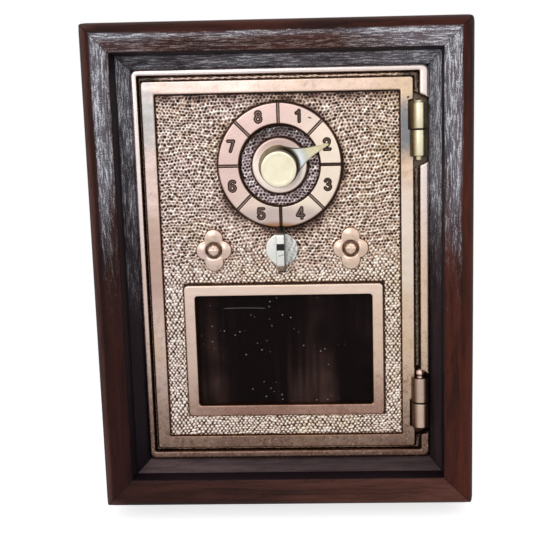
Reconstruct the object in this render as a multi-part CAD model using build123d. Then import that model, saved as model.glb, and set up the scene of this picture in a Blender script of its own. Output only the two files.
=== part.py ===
"""Small wooden bank box with a brass post office box door let into its front.

Every piece is drawn in the casting frame: x to the right, y from the front plane of the brass
frame into the box, z up from the middle of the brass frame.  The whole is moved once, at the
end, so that it stands on its feet with the middle of its plan at the origin.
"""

from build123d import *
from math import cos, degrees, radians, sin
import os

# ---- driving dimensions, mm --------------------------------------------------------------
# wooden box
box_depth = 101.6
board = 9.0              # thickness of the four mitred boards
wood_proud = 9.8         # front edge of the boards ahead of the brass frame
front_arris = 3.2        # roundover of the outer front edges
long_arris = 2.2         # roundover of the four long edges
inner_ease = 0.5         # eased inner front edges
panel_thickness = 5.0
panel_lap = 6.0          # width of the rebate that takes the back panel
panel_clearance = 0.2
panel_screw_x = 32.0
panel_screw_length = 12.0
panel_sink = 2.0         # depth of the countersinks
slot_length = 38.0       # coin slot in the top board
slot_width = 5.0
slot_setback = 52.0      # front of the box to the middle of the slot

# bevelled lining strips round the brass frame
liner_side = 3.55        # brass frame to the side boards
liner_end = 3.675        # brass frame to the top and bottom boards
liner_rise = 3.8         # outer edge of the bevel ahead of the brass frame
liner_depth = 13.0
liner_clearance = 0.1

# feet
foot_height = 4.0
foot_radius = 5.5
foot_taper = 0.8
foot_side_inset = 6.8
foot_front_inset = 17.5
foot_back_inset = 12.0
foot_well = 1.8          # thickness of rubber under the screw head
foot_screw_length = 6.8

# brass frame casting
frame_width = 88.9       # 3 1/2 in
frame_height = 120.65    # 4 3/4 in
frame_corner = 2.0
rim_rise = 0.8
rim_left = 1.6
rim_right = 2.6
rim_top = 1.6
rim_bottom = 2.3
rim_soften = 0.5
frame_depth = 5.4
ledge_overlap = 3.0      # ledge behind the edge of the door
bead_depth = 1.0         # top of the bead below the front plane
bead_clearance = 0.3
lug_x = 28.0             # fixing lugs on the top and bottom rails
lug_width = 10.0
lug_length = 7.0
lug_thickness = 2.0
lug_screw_length = 10.0

# brass door casting
door_gap_left = 1.15
door_gap_right = 2.0
door_gap_top = 1.75
door_gap_bottom = 1.1
door_thickness = 3.2
door_proud = 0.3
door_rest_gap = 0.3      # back of the door to the ledge
door_corner = 1.0
border = 3.7
field_depth = 0.8
centre_line = -0.5       # dial, turn and window share one upright line

# dial
dial_z = 31.5
ring_outer = 18.6
ring_inner = 12.4
ring_rise = 1.5
boss_radius = 8.35
boss_rise = 2.0
groove_width = 1.0
groove_depth = 0.5
sectors = 8

# window
window_z = -25.4
window_width = 55.0
window_height = 35.0
bezel = 3.2
bezel_rise = 1.6
glass_lap = 1.8
glass_thickness = 1.9
glass_clearance = 0.2
retainer_thickness = 0.8
retainer_lap = 2.4
window_corner = 0.8

# raised rosettes
rosette_x = 21.0
rosette_z = 6.1
rosette_rise = 1.0
rosette_lobe = 2.9

# hinges
knuckle_radius = 2.7
knuckle_length = 7.9
knuckle_gap = 0.3
hinge_clearance = 1.4    # end of the rim above and below the knuckles
hinge_slant = 2.4        # slant of the rim's ends beside the hinges
knuckle_margin = 0.5     # door edge clear of the frame's knuckles
hinge_edge = 0.15        # knuckle inside the outer edge of the frame
hinge_proud = 0.6        # axis ahead of the front plane
upper_hinge_z = 41.3
lower_hinge_z = -42.5
pin_radius = 1.1
pin_tail = 1.2
pin_head_radius = 1.7
pin_head_height = 1.2
pin_ball_radius = 1.35
pin_fit = 0.02
hinge_fit = 0.06

# spindle, pointer and wheels
spindle_radius = 2.5
sleeve_radius = 3.5
running_fit = 0.06
pointer_angle = 22.3     # above the horizontal, at the numeral 2
pointer_reach = 16.2
pointer_tip = 1.0        # width of the blunt tip
pointer_front = 3.0      # tip ahead of the front plane
hub_radius = 6.1
hub_touch = 62.0         # where the hollow flanks leave the hub, degrees from the beak
hub_edge = 4.1           # front of the hub's edge ahead of the front plane
flank_out = 2.4          # middle of the flank beyond the hub
flank_half = 2.2         # half width of the beak there
neck_radius = 4.35
knob_back = 7.0          # underside of the knob ahead of the front plane
knob_radius = 5.25
knob_wall = 2.0          # face of the knob in front of the spindle
knob_front = 12.0
pointer_clearance = 0.3
wheel_radius = 9.0
wheel_thickness = 1.6
spacer_thickness = 1.2
wheel_gap = 0.2
wheel_setback = 9.0      # front of the first wheel behind the front plane
shoulder_radius = 4.5
spacer_radius = 5.0
drive_pin_radius = 0.6
drive_pin_circle = 6.3
flange_radius = 8.0
flange_thickness = 1.5
nut_thickness = 2.0
spindle_nut_across = 8.0
fence_nut_across = 7.0
thread_spare = 0.6       # ends of the shafts past their nuts
notch_depth = 0.6
notch_radius = 1.4
sleeve_screw_length = 2.9

# thumb turn, fence and bolt
turn_z = 6.2
turn_radius = 4.85
turn_disc = 1.5
turn_stand = 0.3         # back of the disc ahead of the front plane
fin_length = 14.0
fin_flat = 9.2           # flat front of the fin
fin_soften = 1.0
fin_thickness = 2.3
fin_front = 6.6
fin_notch = 2.1          # notch across the front of the fin
fin_notch_depth = 0.8
fin_notch_rise = 1.0     # middle of the notch above the shaft
turn_shaft = 2.25
turn_swing = 50.0
bush_flange = 5.0
bush_thickness = 1.2
clip_radius = 3.6
clip_thickness = 0.6
washer_radius = 4.0
washer_thickness = 0.6
washer_gap = 0.1
fence_bite = 1.8         # how far the fence enters the wheels
fence_width = 3.2
fence_clearance = 0.4
fence_hub = 4.2
crank_arm = 2.2          # half width of the short arm that carries the crank pin
crank_arm_thickness = 2.0
bolt_travel = 5.0
bolt_thickness = 2.0
bolt_height = 5.8
bolt_setback = 0.6       # bolt behind the ledge
bolt_head_length = 8.0
bolt_head_thickness = 3.0
bolt_head_step = 1.5     # head past the bar, above and below
bolt_bevel = 1.2
bolt_end_gap = 1.7       # withdrawn bolt to the edge of the ledge
bolt_tail = 19.0
crank_pin_radius = 1.2
slide_fit = 0.15
guide_width = 6.0
guide_wall = 2.8
guide_bridge = 1.0
guide_left = -21.0
guide_right = 9.5

# small screws
wood_screw_radius = 1.2
wood_screw_head = 2.3
machine_screw_radius = 0.8
machine_screw_head = 1.5
machine_screw_length = 2.2
screw_fit = 0.05
hole_spare = 0.6         # blind holes run past the tips of their screws
wood_head_height = 1.4
machine_head_height = 0.9
machine_slot = 0.35

# cuts
spill = 1.0              # a cut runs this far past the face that it opens
sweep = 25.0             # a cut that opens everything ahead or behind
seat = 0.2               # forms sunk into the casting that they stand on

# ---- sizes that follow -------------------------------------------------------------------
inner_width = frame_width + 2 * liner_side
inner_height = frame_height + 2 * liner_end
box_width = inner_width + 2 * board
box_height = inner_height + 2 * board
box_front = -wood_proud
box_back = box_depth - wood_proud
frame_x = frame_width / 2
frame_z = frame_height / 2
door_left = -frame_x + rim_left + door_gap_left
door_right = frame_x - rim_right - door_gap_right
door_top = frame_z - rim_top - door_gap_top
door_bottom = -frame_z + rim_bottom + door_gap_bottom
door_back = door_thickness - door_proud
field_floor = field_depth - door_proud
ledge_front = door_back + door_rest_gap
hinge_x = frame_x - knuckle_radius - hinge_edge
hinge_y = -hinge_proud
wheel_fronts = [wheel_setback + n * (wheel_thickness + spacer_thickness + 2 * wheel_gap) for n in range(3)]
spacer_fronts = [front + wheel_thickness + wheel_gap for front in wheel_fronts[:2]]
sleeve_end = wheel_fronts[2] - wheel_gap
wheels_back = wheel_fronts[2] + wheel_thickness
axis_gap = dial_z - turn_z
fence_reach = axis_gap - wheel_radius + fence_bite
half_swing = radians(turn_swing / 2)
crank_radius = bolt_travel / (2 * sin(half_swing))
bolt_front = frame_depth + bolt_setback
bolt_back = bolt_front + bolt_thickness
fence_front = bolt_back + fence_clearance
bolt_tip = door_left + ledge_overlap + bolt_end_gap
crank_x = centre_line + crank_radius * sin(half_swing)
crank_low = turn_z - crank_radius
crank_high = turn_z - crank_radius * cos(half_swing)
bolt_z = (crank_low + crank_high) / 2
glass_front = door_back - glass_thickness - glass_clearance / 4
retainer_back = door_back + retainer_thickness


# ---- shared forms ------------------------------------------------------------------------
def block(x0, x1, y0, y1, z0, z1):
    """Rectangular block between two corners."""
    middle = Pos((x0 + x1) / 2, (y0 + y1) / 2, (z0 + z1) / 2)
    return middle * Box(x1 - x0, y1 - y0, z1 - z0)


def prism(outline, y0, y1):
    """An outline seen from the front, carried from depth y0 to depth y1."""
    return extrude(Plane.XZ.offset(-y1) * outline, y1 - y0)


def disc(x, z, radius, y0, y1):
    """Round bar that lies along the depth of the box."""
    return prism(Pos(x, z) * Circle(radius), y0, y1)


def upright(x, y, radius, z0, z1):
    """Round bar that stands upright."""
    return Pos(x, y, (z0 + z1) / 2) * Cylinder(radius, z1 - z0)


def funnel(width_0, height_0, y0, width_1, height_1, y1):
    """Straight-sided taper between two rectangles at two depths."""
    first = Plane.XZ.offset(-y0) * Rectangle(width_0, height_0)
    second = Plane.XZ.offset(-y1) * Rectangle(width_1, height_1)
    return loft(Sketch() + [first, second], ruled=True)


def mitres(outer_width, outer_height, inner_w, inner_h, y0, y1):
    """Four wedges that part a frame along its mitres: top, bottom, left, right."""
    ox, oz = outer_width / 2, outer_height / 2
    ix, iz = inner_w / 2, inner_h / 2
    outlines = {
        "top": [(-ox, oz), (-ix, iz), (ix, iz), (ox, oz)],
        "bottom": [(-ox, -oz), (ox, -oz), (ix, -iz), (-ix, -iz)],
        "left": [(-ox, oz), (-ox, -oz), (-ix, -iz), (-ix, iz)],
        "right": [(ox, oz), (ix, iz), (ix, -iz), (ox, -oz)],
    }
    return {name: prism(make_face(Polyline(points, close=True)), y0, y1)
            for name, points in outlines.items()}


def screw(radius, head_radius, length, head_height, slot=0.5):
    """Round-headed slotted screw along +z, the underside of its head at the origin."""
    shank = upright(0, 0, radius, -length, 0.01)
    head = Cylinder(head_radius, head_height, align=(Align.CENTER, Align.CENTER, Align.MIN))
    head = chamfer(head.edges().group_by(Axis.Z)[-1], head_height * 0.45, head_height * 0.7)
    cut = block(-head_radius, head_radius, -slot / 2, slot / 2, head_height * 0.5, head_height + spill)
    return shank + head - cut


def hexagon(x, z, across, y0, y1):
    """Six-sided nut blank along the depth."""
    return prism(Pos(x, z) * RegularPolygon(across / 2, 6, major_radius=False), y0, y1)


def facing_back(x, y, z):
    """Place for a screw whose head faces the back of the box."""
    return Pos(x, y, z) * Rot(-90, 0, 0)


# ---- wooden box --------------------------------------------------------------------------
def wooden_box():
    """Four mitred boards with rounded front edges, and a rebate at the back."""
    middle_y = (box_front + box_back) / 2
    across = Pos(0, middle_y, 0) * Box(box_width + 2, box_depth, box_height)
    across = fillet(across.edges().filter_by(Axis.X).group_by(Axis.Y)[0], front_arris)
    up = Pos(0, middle_y, 0) * Box(box_width, box_depth, box_height + 2)
    up = fillet(up.edges().filter_by(Axis.Z).group_by(Axis.Y)[0], front_arris)
    shell = across & up & prism(RectangleRounded(box_width, box_height, long_arris), box_front, box_back)
    shell -= prism(Rectangle(inner_width, inner_height), box_front - spill, box_back + spill)
    shell -= funnel(inner_width + 2 * inner_ease, inner_height + 2 * inner_ease, box_front,
                    inner_width, inner_height, box_front + inner_ease)
    shell -= prism(Rectangle(inner_width + 2 * panel_lap, inner_height + 2 * panel_lap),
                   box_back - panel_thickness, box_back + spill)
    wedges = mitres(box_width, box_height, inner_width, inner_height, box_front - spill, box_back + spill)
    boards = {name: shell & wedge for name, wedge in wedges.items()}

    slot_y = box_front + slot_setback
    slot = extrude(Plane.XY.offset(inner_height / 2 - spill) * Pos(0, slot_y) * SlotOverall(slot_length, slot_width),
                   board + 2)
    boards["top"] -= slot
    for name, side in (("top", 1), ("bottom", -1)):
        for x in (-panel_screw_x, panel_screw_x):
            z = side * (inner_height + panel_lap) / 2
            start = box_back - panel_thickness
            depth = panel_screw_length - panel_thickness + panel_sink + hole_spare
            boards[name] -= disc(x, z, wood_screw_radius + screw_fit, start - depth, start)
        for x in (-lug_x, lug_x):
            y = frame_depth + lug_length / 2
            depth = lug_screw_length - lug_thickness - liner_end + hole_spare
            z0, z1 = sorted((side * (inner_height / 2 - 0.1), side * (inner_height / 2 + depth)))
            boards[name] -= upright(x, y, wood_screw_radius + screw_fit, z0, z1)
    for x, y in foot_places():
        top = -box_height / 2 + foot_screw_length - foot_well + hole_spare
        boards["bottom"] -= upright(x, y, wood_screw_radius + screw_fit, -box_height / 2 - 0.1, top)
    return boards


def back_panel():
    """Loose panel in the rebate, with four countersunk screw holes."""
    width = inner_width + 2 * (panel_lap - panel_clearance)
    height = inner_height + 2 * (panel_lap - panel_clearance)
    panel = prism(Rectangle(width, height), box_back - panel_thickness, box_back)
    for x, z in panel_screw_places():
        panel -= disc(x, z, wood_screw_radius + screw_fit, box_back - panel_thickness - spill, box_back + spill)
        panel -= disc(x, z, wood_screw_head + screw_fit, box_back - panel_sink, box_back + spill)
    return panel


def panel_screw_places():
    z = (inner_height + panel_lap) / 2
    return [(x, side * z) for side in (1, -1) for x in (-panel_screw_x, panel_screw_x)]


def back_screws():
    one = screw(wood_screw_radius, wood_screw_head, panel_screw_length, 1.6)
    return [facing_back(x, box_back - panel_sink, z) * one for x, z in panel_screw_places()]


def liners():
    """Four mitred strips, bevelled down to the brass frame."""
    hole_width = frame_width + 2 * liner_clearance
    hole_height = frame_height + 2 * liner_clearance
    ring = prism(Rectangle(inner_width, inner_height) - Rectangle(hole_width, hole_height),
                 -liner_rise, liner_depth)
    ring -= funnel(inner_width, inner_height, -liner_rise, hole_width, hole_height, 0)
    wedges = mitres(inner_width, inner_height, hole_width, hole_height, -liner_rise - spill, liner_depth + spill)
    strips = {name: ring & wedge for name, wedge in wedges.items()}
    for name, side in (("top", 1), ("bottom", -1)):
        for x in (-lug_x, lug_x):
            y = frame_depth + lug_length / 2
            z0, z1 = sorted((side * (frame_z - spill), side * (inner_height / 2 + spill)))
            strips[name] -= upright(x, y, wood_screw_radius + screw_fit, z0, z1)
    return strips


# ---- feet --------------------------------------------------------------------------------
def foot_places():
    x = box_width / 2 - foot_side_inset
    front = box_front + foot_front_inset
    back = box_back - foot_back_inset
    return [(side * x, y) for side in (-1, 1) for y in (front, back)]


def bumper_feet():
    """Round rubber feet, tapered, each with a well for its screw."""
    top = -box_height / 2
    hole = wood_screw_radius + screw_fit
    well = wood_screw_head + 0.4
    profile = Plane.XZ * make_face(Polyline(
        (hole, 0), (foot_radius, 0), (foot_radius, -foot_height * 0.4), (foot_radius - foot_taper, -foot_height),
        (well, -foot_height), (well, -foot_well), (hole, -foot_well), close=True))
    foot = revolve(profile, Axis.Z)
    return [Pos(x, y, top) * foot for x, y in foot_places()]


def foot_screws():
    top = -box_height / 2
    one = screw(wood_screw_radius, wood_screw_head, foot_screw_length, wood_head_height)
    return [Pos(x, y, top - foot_well) * Rot(180, 0, 0) * one for x, y in foot_places()]


# ---- brass frame -------------------------------------------------------------------------
def door_frame():
    """Frame casting: raised rim, bead in the gap, ledge behind the door, knuckles and lugs."""
    pocket_left, pocket_right = -frame_x + rim_left, frame_x - rim_right
    pocket_top, pocket_bottom = frame_z - rim_top, -frame_z + rim_bottom
    casting = prism(RectangleRounded(frame_width, frame_height, frame_corner), -rim_rise, frame_depth)
    casting = fillet(casting.faces().sort_by(Axis.Y)[0].edges(), rim_soften)
    casting -= block(pocket_left, pocket_right, -sweep, ledge_front, pocket_bottom, pocket_top)
    casting = fillet(casting.faces().sort_by(Axis.Y)[0].inner_wires().edges(), rim_soften)
    casting -= block(door_left + ledge_overlap, door_right - ledge_overlap, -sweep, frame_depth + spill,
                     door_bottom + ledge_overlap, door_top - ledge_overlap)
    bead = block(pocket_left + bead_clearance, pocket_right - bead_clearance, bead_depth, ledge_front,
                 pocket_bottom + bead_clearance, pocket_top - bead_clearance)
    bead -= block(door_left - bead_clearance, door_right + bead_clearance, 0, frame_depth,
                  door_bottom - bead_clearance, door_top + bead_clearance)
    casting += bead
    for low, high in hinge_spans():
        edge = frame_x + spill
        outline = make_face(Polyline((door_right, low - hinge_slant), (edge, low + hinge_slant / 6),
                                     (edge, high - hinge_slant / 6), (door_right, high + hinge_slant), close=True))
        casting -= prism(outline, -sweep, ledge_front)
    for low, high in frame_knuckles():
        casting += upright(hinge_x, hinge_y, knuckle_radius, low, high)
        casting += block(hinge_x, hinge_x + knuckle_radius, hinge_y, frame_depth, low, high)
        casting -= upright(hinge_x, hinge_y, pin_radius + pin_fit, low - spill, high + spill)
    for side in (1, -1):
        for x in (-lug_x, lug_x):
            z0, z1 = sorted((side * frame_z, side * (frame_z - lug_thickness)))
            lug = block(x - lug_width / 2, x + lug_width / 2, frame_depth - spill, frame_depth + lug_length,
                        z0, z1)
            lug = fillet(lug.edges().filter_by(Axis.Z).group_by(Axis.Y)[-1], 2.0)
            casting += lug
            casting -= upright(x, frame_depth + lug_length / 2, wood_screw_radius + screw_fit,
                               z0 - spill, z1 + spill)
    return casting


def hinge_spans():
    """Height that each hinge takes out of the rim."""
    reach = knuckle_length + hinge_clearance
    return [(middle - reach, middle + reach) for middle in (upper_hinge_z, lower_hinge_z)]


def frame_knuckles():
    """The frame holds the upper knuckle of the upper hinge and the lower one of the lower hinge."""
    half = knuckle_gap / 2
    return [(upper_hinge_z + half, upper_hinge_z + knuckle_length),
            (lower_hinge_z - knuckle_length, lower_hinge_z - half)]


def door_knuckles():
    half = knuckle_gap / 2
    return [(upper_hinge_z - knuckle_length, upper_hinge_z - half),
            (lower_hinge_z + half, lower_hinge_z + knuckle_length)]


def frame_screws():
    """Screws that go up and down through the lugs into the boards."""
    one = screw(wood_screw_radius, wood_screw_head, lug_screw_length, wood_head_height)
    y = frame_depth + lug_length / 2
    seat = frame_z - lug_thickness
    return [Pos(x, y, side * seat) * Rot(180 if side > 0 else 0, 0, 0) * one
            for side in (1, -1) for x in (-lug_x, lug_x)]


def upper_hinge_pin():
    """Pin with a low domed head on the frame's knuckle."""
    top = upper_hinge_z + knuckle_length
    head = upright(hinge_x, hinge_y, pin_head_radius, top, top + pin_head_height)
    head = fillet(head.edges().group_by(Axis.Z)[-1], 0.75 * pin_head_height)
    tail = upright(hinge_x, hinge_y, pin_radius, upper_hinge_z - knuckle_length - pin_tail, top + seat)
    tail = chamfer(tail.edges().group_by(Axis.Z)[0], pin_radius / 4)
    return head + tail


def lower_hinge_pin():
    """Pin with a ball head above the door's knuckle."""
    top = lower_hinge_z + knuckle_length
    tail = upright(hinge_x, hinge_y, pin_radius, lower_hinge_z - knuckle_length - pin_tail / 2,
                   top + pin_ball_radius)
    tail = chamfer(tail.edges().group_by(Axis.Z)[0], pin_radius / 4)
    return tail + Pos(hinge_x, hinge_y, top + pin_ball_radius) * Sphere(pin_ball_radius)


# ---- brass door --------------------------------------------------------------------------
def ring_sketch(outer, inner, x, z):
    return Pos(x, z) * (Circle(outer) - Circle(inner))


def dial_ring():
    """Raised ring parted into eight sectors by shallow radial grooves."""
    ring = prism(ring_sketch(ring_outer, ring_inner, centre_line, dial_z), -ring_rise, field_floor + seat)
    ring = chamfer(ring.faces().sort_by(Axis.Y)[0].edges(), 0.25)
    for n in range(sectors):
        groove = block(ring_inner - spill, ring_outer + spill, -ring_rise - spill, -ring_rise + groove_depth,
                       -groove_width / 2, groove_width / 2)
        ring -= Pos(centre_line, 0, dial_z) * Rot(0, 360 / sectors * n, 0) * groove
    return ring


def quatrefoil():
    """Four-lobed rosette with a raised stud in the middle."""
    lobes = Circle(rosette_lobe)
    for x, z in ((0, 3.6), (0, -3.6), (2.6, 0), (-2.6, 0)):
        lobes += Pos(x, z) * Circle(rosette_lobe)
    return lobes


def door_casting():
    """Door: flat border, sunk field, dial ring, boss, rosettes, window bezel and knuckles."""
    width, height = door_right - door_left, door_top - door_bottom
    middle = Pos((door_left + door_right) / 2, (door_top + door_bottom) / 2)
    casting = prism(middle * RectangleRounded(width, height, door_corner), -door_proud, door_back)
    casting = chamfer(casting.faces().sort_by(Axis.Y)[0].edges(), 0.3)
    casting -= prism(middle * RectangleRounded(width - 2 * border, height - 2 * border, door_corner),
                     -sweep, field_floor)
    casting += dial_ring()
    boss = disc(centre_line, dial_z, boss_radius, -boss_rise, field_floor + seat)
    casting += fillet(boss.faces().sort_by(Axis.Y)[0].edges(), 0.8)
    casting += disc(centre_line, turn_z, turn_radius - spill, -turn_stand + 0.3, field_floor + seat)
    bezel_outline = Pos(centre_line, window_z) * RectangleRounded(
        window_width + 2 * bezel, window_height + 2 * bezel, window_corner + 0.4)
    frame = prism(bezel_outline, -bezel_rise, field_floor + seat)
    casting += fillet(frame.faces().sort_by(Axis.Y)[0].edges(), 0.4)
    for side in (-1, 1):
        rosette = prism(Pos(centre_line + side * rosette_x, rosette_z) * quatrefoil(),
                        -rosette_rise, field_floor + seat)
        casting += chamfer(rosette.faces().sort_by(Axis.Y)[0].edges(), 0.35)
        casting += Pos(centre_line + side * rosette_x, -rosette_rise + 1.1, rosette_z) * Sphere(1.9)
    casting -= prism(Pos(centre_line, window_z) * RectangleRounded(window_width, window_height, window_corner),
                     -sweep, door_back + spill)
    casting -= prism(Pos(centre_line, window_z) * Rectangle(window_width + 2 * glass_lap,
                                                            window_height + 2 * glass_lap),
                     glass_front - glass_clearance / 4, door_back + spill)
    for low, high in frame_knuckles():
        casting -= block(hinge_x - knuckle_radius - knuckle_margin, door_right + spill, -sweep, sweep,
                         low - knuckle_margin / 2, high + 2 * knuckle_margin)
    for low, high in door_knuckles():
        casting += upright(hinge_x, hinge_y, knuckle_radius, low, high)
        casting += block(door_right - spill, hinge_x, hinge_y - door_proud, door_back - 3 * door_proud,
                         low, high)
        casting -= upright(hinge_x, hinge_y, pin_radius + hinge_fit, low - spill, high + spill)
    for z in (dial_z, turn_z):
        casting -= disc(centre_line, z, sleeve_radius + screw_fit, -sweep, sweep)
    for x, z in sleeve_screw_places() + retainer_screw_places() + guide_screw_places():
        depth = machine_screw_length - retainer_thickness + 0.1
        casting -= disc(x, z, machine_screw_radius + screw_fit, door_back - depth, door_back + spill)
    return casting


def window_glass():
    width = window_width + 2 * (glass_lap - glass_clearance)
    height = window_height + 2 * (glass_lap - glass_clearance)
    return prism(Pos(centre_line, window_z) * Rectangle(width, height), glass_front,
                 glass_front + glass_thickness)


def retainer_screw_places():
    x = window_width / 2 + retainer_lap
    z = window_height / 2 + retainer_lap
    return [(centre_line + sx * x, window_z + sz * z) for sx in (-1, 1) for sz in (-1, 1)]


def glass_retainer():
    """Sheet brass frame behind the glass, with a corner ear for each screw."""
    outer = Rectangle(window_width + 2 * retainer_lap, window_height + 2 * retainer_lap)
    hole = RectangleRounded(window_width - 3, window_height - 3, 1.0)
    plate = prism(Pos(centre_line, window_z) * (outer - hole), door_back, retainer_back)
    for x, z in retainer_screw_places():
        plate += disc(x, z, 2.2, door_back, retainer_back)
        plate -= disc(x, z, machine_screw_radius + screw_fit, door_back - spill, retainer_back + spill)
    return plate


def retainer_screws():
    one = screw(machine_screw_radius, machine_screw_head, machine_screw_length, machine_head_height,
                machine_slot)
    return [facing_back(x, retainer_back, z) * one for x, z in retainer_screw_places()]


# ---- spindle and wheels ------------------------------------------------------------------
def spindle_sleeve():
    """Sleeve through the door: a flange on its back, a shoulder and the post for the wheels."""
    body = disc(centre_line, dial_z, sleeve_radius, -boss_rise + 0.2, sleeve_end)
    body += disc(centre_line, dial_z, flange_radius, door_back, door_back + flange_thickness)
    body += disc(centre_line, dial_z, shoulder_radius, door_back, wheel_setback - wheel_gap)
    body -= disc(centre_line, dial_z, spindle_radius + running_fit, -sweep, sleeve_end + spill)
    for x, z in sleeve_screw_places():
        body -= disc(x, z, machine_screw_radius + screw_fit, door_back - spill,
                     door_back + flange_thickness + spill)
    return body


def sleeve_screw_places():
    circle = (shoulder_radius + flange_radius) / 2
    return [(centre_line + circle * cos(radians(a)), dial_z + circle * sin(radians(a))) for a in (90, 210, 330)]


def sleeve_screws():
    one = screw(machine_screw_radius, machine_screw_head, sleeve_screw_length, machine_head_height,
                machine_slot)
    return [facing_back(x, door_back + flange_thickness, z) * one for x, z in sleeve_screw_places()]


def pointer_outline():
    """Round hub with a hollow-sided beak that runs out to a narrow tip."""
    half_tip = pointer_tip / 2
    touch = radians(hub_touch)
    shoulder = (hub_radius * cos(touch), hub_radius * sin(touch))
    upper = ThreePointArc(shoulder, (hub_radius + flank_out, flank_half), (pointer_reach, half_tip))
    lower = ThreePointArc((pointer_reach, -half_tip), (hub_radius + flank_out, -flank_half),
                          (shoulder[0], -shoulder[1]))
    back = ThreePointArc((shoulder[0], -shoulder[1]), (-hub_radius, 0), shoulder)
    end = Line((pointer_reach, half_tip), (pointer_reach, -half_tip))
    return make_face([upper, end, lower, back])


def flared_hub(base):
    """Round hub whose front sweeps up in a hollow curve to the neck under the knob."""
    sag = (hub_radius - neck_radius) * 0.28
    middle = (neck_radius + sag, -(hub_edge + knob_back) / 2 + sag)
    hollow = ThreePointArc((neck_radius, -knob_back), middle, (hub_radius, -hub_edge))
    sides = Polyline((hub_radius, -hub_edge), (hub_radius, base), (0, base), (0, -knob_back),
                     (neck_radius, -knob_back))
    return revolve(make_face([hollow, sides]), Axis.Y)


def pointer_knob():
    """Pointer and its round knob, cast in one."""
    base = -(boss_rise + pointer_clearance)
    crest = hub_edge + (hub_edge - pointer_front) * hub_radius / (pointer_reach - hub_radius)
    far = pointer_reach + spill
    side = make_face(Polyline((0, base), (far, base), (far, -pointer_front), (pointer_reach, -pointer_front),
                              (0, -crest), close=True))
    beak = prism(pointer_outline(), -crest, base) & extrude(side, hub_radius, both=True)
    knob = disc(0, 0, knob_radius, -knob_front, -knob_back + seat)
    knob = fillet(knob.faces().sort_by(Axis.Y)[0].edges(), 0.5)
    body = Rot(0, -pointer_angle, 0) * (beak + flared_hub(base) + knob)
    body = Pos(centre_line, 0, dial_z) * body
    return body - disc(centre_line, dial_z, spindle_radius + pin_fit, -knob_front + knob_wall, 0)


def spindle():
    """Arbor from the knob to the nut behind the drive wheel."""
    end = wheels_back + nut_thickness + thread_spare
    bar = disc(centre_line, dial_z, spindle_radius, -knob_front + knob_wall + pointer_clearance / 3, end)
    return chamfer(bar.edges().group_by(Axis.Y)[-1], spindle_radius / 6)


def wheel(front, bore, with_pins):
    """Wheel with a scalloped gate for the fence, shallow false notches and drive pins."""
    back = front + wheel_thickness
    body = disc(centre_line, dial_z, wheel_radius, front, back)
    for n in range(1, sectors):
        angle = radians(270 + n * 360 / sectors)
        reach = wheel_radius + notch_radius - notch_depth
        body -= disc(centre_line + reach * cos(angle), dial_z + reach * sin(angle), notch_radius,
                     front - spill, back + spill)
    body -= disc(centre_line, turn_z, fence_reach + fence_clearance, front - spill, back + spill)
    body -= disc(centre_line, dial_z, bore, front - spill, back + spill)
    reach = spacer_thickness + 2 * wheel_gap - 0.3
    for place, side in with_pins:
        angle = radians(90 + place)
        x = centre_line + drive_pin_circle * cos(angle)
        z = dial_z + drive_pin_circle * sin(angle)
        if side == "back":
            body += disc(x, z, drive_pin_radius, back - 0.2, back + reach)
        else:
            body += disc(x, z, drive_pin_radius, front - reach, front + 0.2)
    return body


def wheels():
    """Front, middle and drive wheel; each drive pin bears on the pin of the next wheel."""
    step = degrees(2 * drive_pin_radius / drive_pin_circle) + 1.5
    loose = sleeve_radius + running_fit
    front_wheel = wheel(wheel_fronts[0], loose, [(0, "back")])
    middle_wheel = wheel(wheel_fronts[1], loose, [(step, "front"), (0, "back")])
    drive_wheel = wheel(wheel_fronts[2], spindle_radius + pin_fit, [(step, "front")])
    return front_wheel, middle_wheel, drive_wheel


def wheel_spacers():
    """Fixed rings on the sleeve between the wheels."""
    return [disc(centre_line, dial_z, spacer_radius, front, front + spacer_thickness)
            - disc(centre_line, dial_z, sleeve_radius + pin_fit, front - spill, front + spacer_thickness + spill)
            for front in spacer_fronts]


def spindle_nut():
    nut = hexagon(centre_line, dial_z, spindle_nut_across, wheels_back, wheels_back + nut_thickness)
    return nut - disc(centre_line, dial_z, spindle_radius + pin_fit, wheels_back - spill, wheels_back + sweep)


# ---- thumb turn, fence and bolt ----------------------------------------------------------
def turn_bush():
    """Flanged bush that carries the thumb turn."""
    back = door_back + bush_thickness
    body = disc(centre_line, turn_z, sleeve_radius, -turn_stand + pointer_clearance + 0.1, back)
    body += disc(centre_line, turn_z, bush_flange, door_back, back)
    return body - disc(centre_line, turn_z, turn_shaft + running_fit, -sweep, sweep)


def thumb_turn():
    """Round disc with an upright fin, and the shaft behind it."""
    lift = -turn_stand - turn_disc
    plate = disc(centre_line, turn_z, turn_radius, lift, -turn_stand)
    plate = fillet(plate.faces().sort_by(Axis.Y)[0].edges(), 0.3)
    half = fin_length / 2
    foot = half - turn_disc - spill
    front = FilletPolyline((lift, -half), (-fin_front, -fin_flat / 2), (-fin_front, fin_flat / 2), (lift, half),
                           radius=fin_soften)
    root = Polyline((lift, half), (lift + turn_disc / 3, foot), (lift + turn_disc / 3, -foot), (lift, -half))
    fin = extrude(Plane.YZ.offset(-fin_thickness / 2) * make_face([front, root]), fin_thickness)
    fin -= block(-fin_thickness, fin_thickness, -fin_front - spill, -fin_front + fin_notch_depth,
                 fin_notch_rise - fin_notch / 2, fin_notch_rise + fin_notch / 2)
    fin = Pos(centre_line, 0, turn_z) * fin
    end = wheels_back + nut_thickness + thread_spare
    shaft = disc(centre_line, turn_z, turn_shaft, -turn_stand - turn_disc / 3, end)
    return plate + fin + chamfer(shaft.edges().group_by(Axis.Y)[-1], turn_shaft / 6)


def friction_washer():
    """Thin ring between the bush and the clip."""
    start = door_back + bush_thickness + washer_gap
    ring = disc(centre_line, turn_z, washer_radius, start, start + washer_thickness)
    return ring - disc(centre_line, turn_z, turn_shaft + pin_fit, start - spill, start + sweep)


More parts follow.
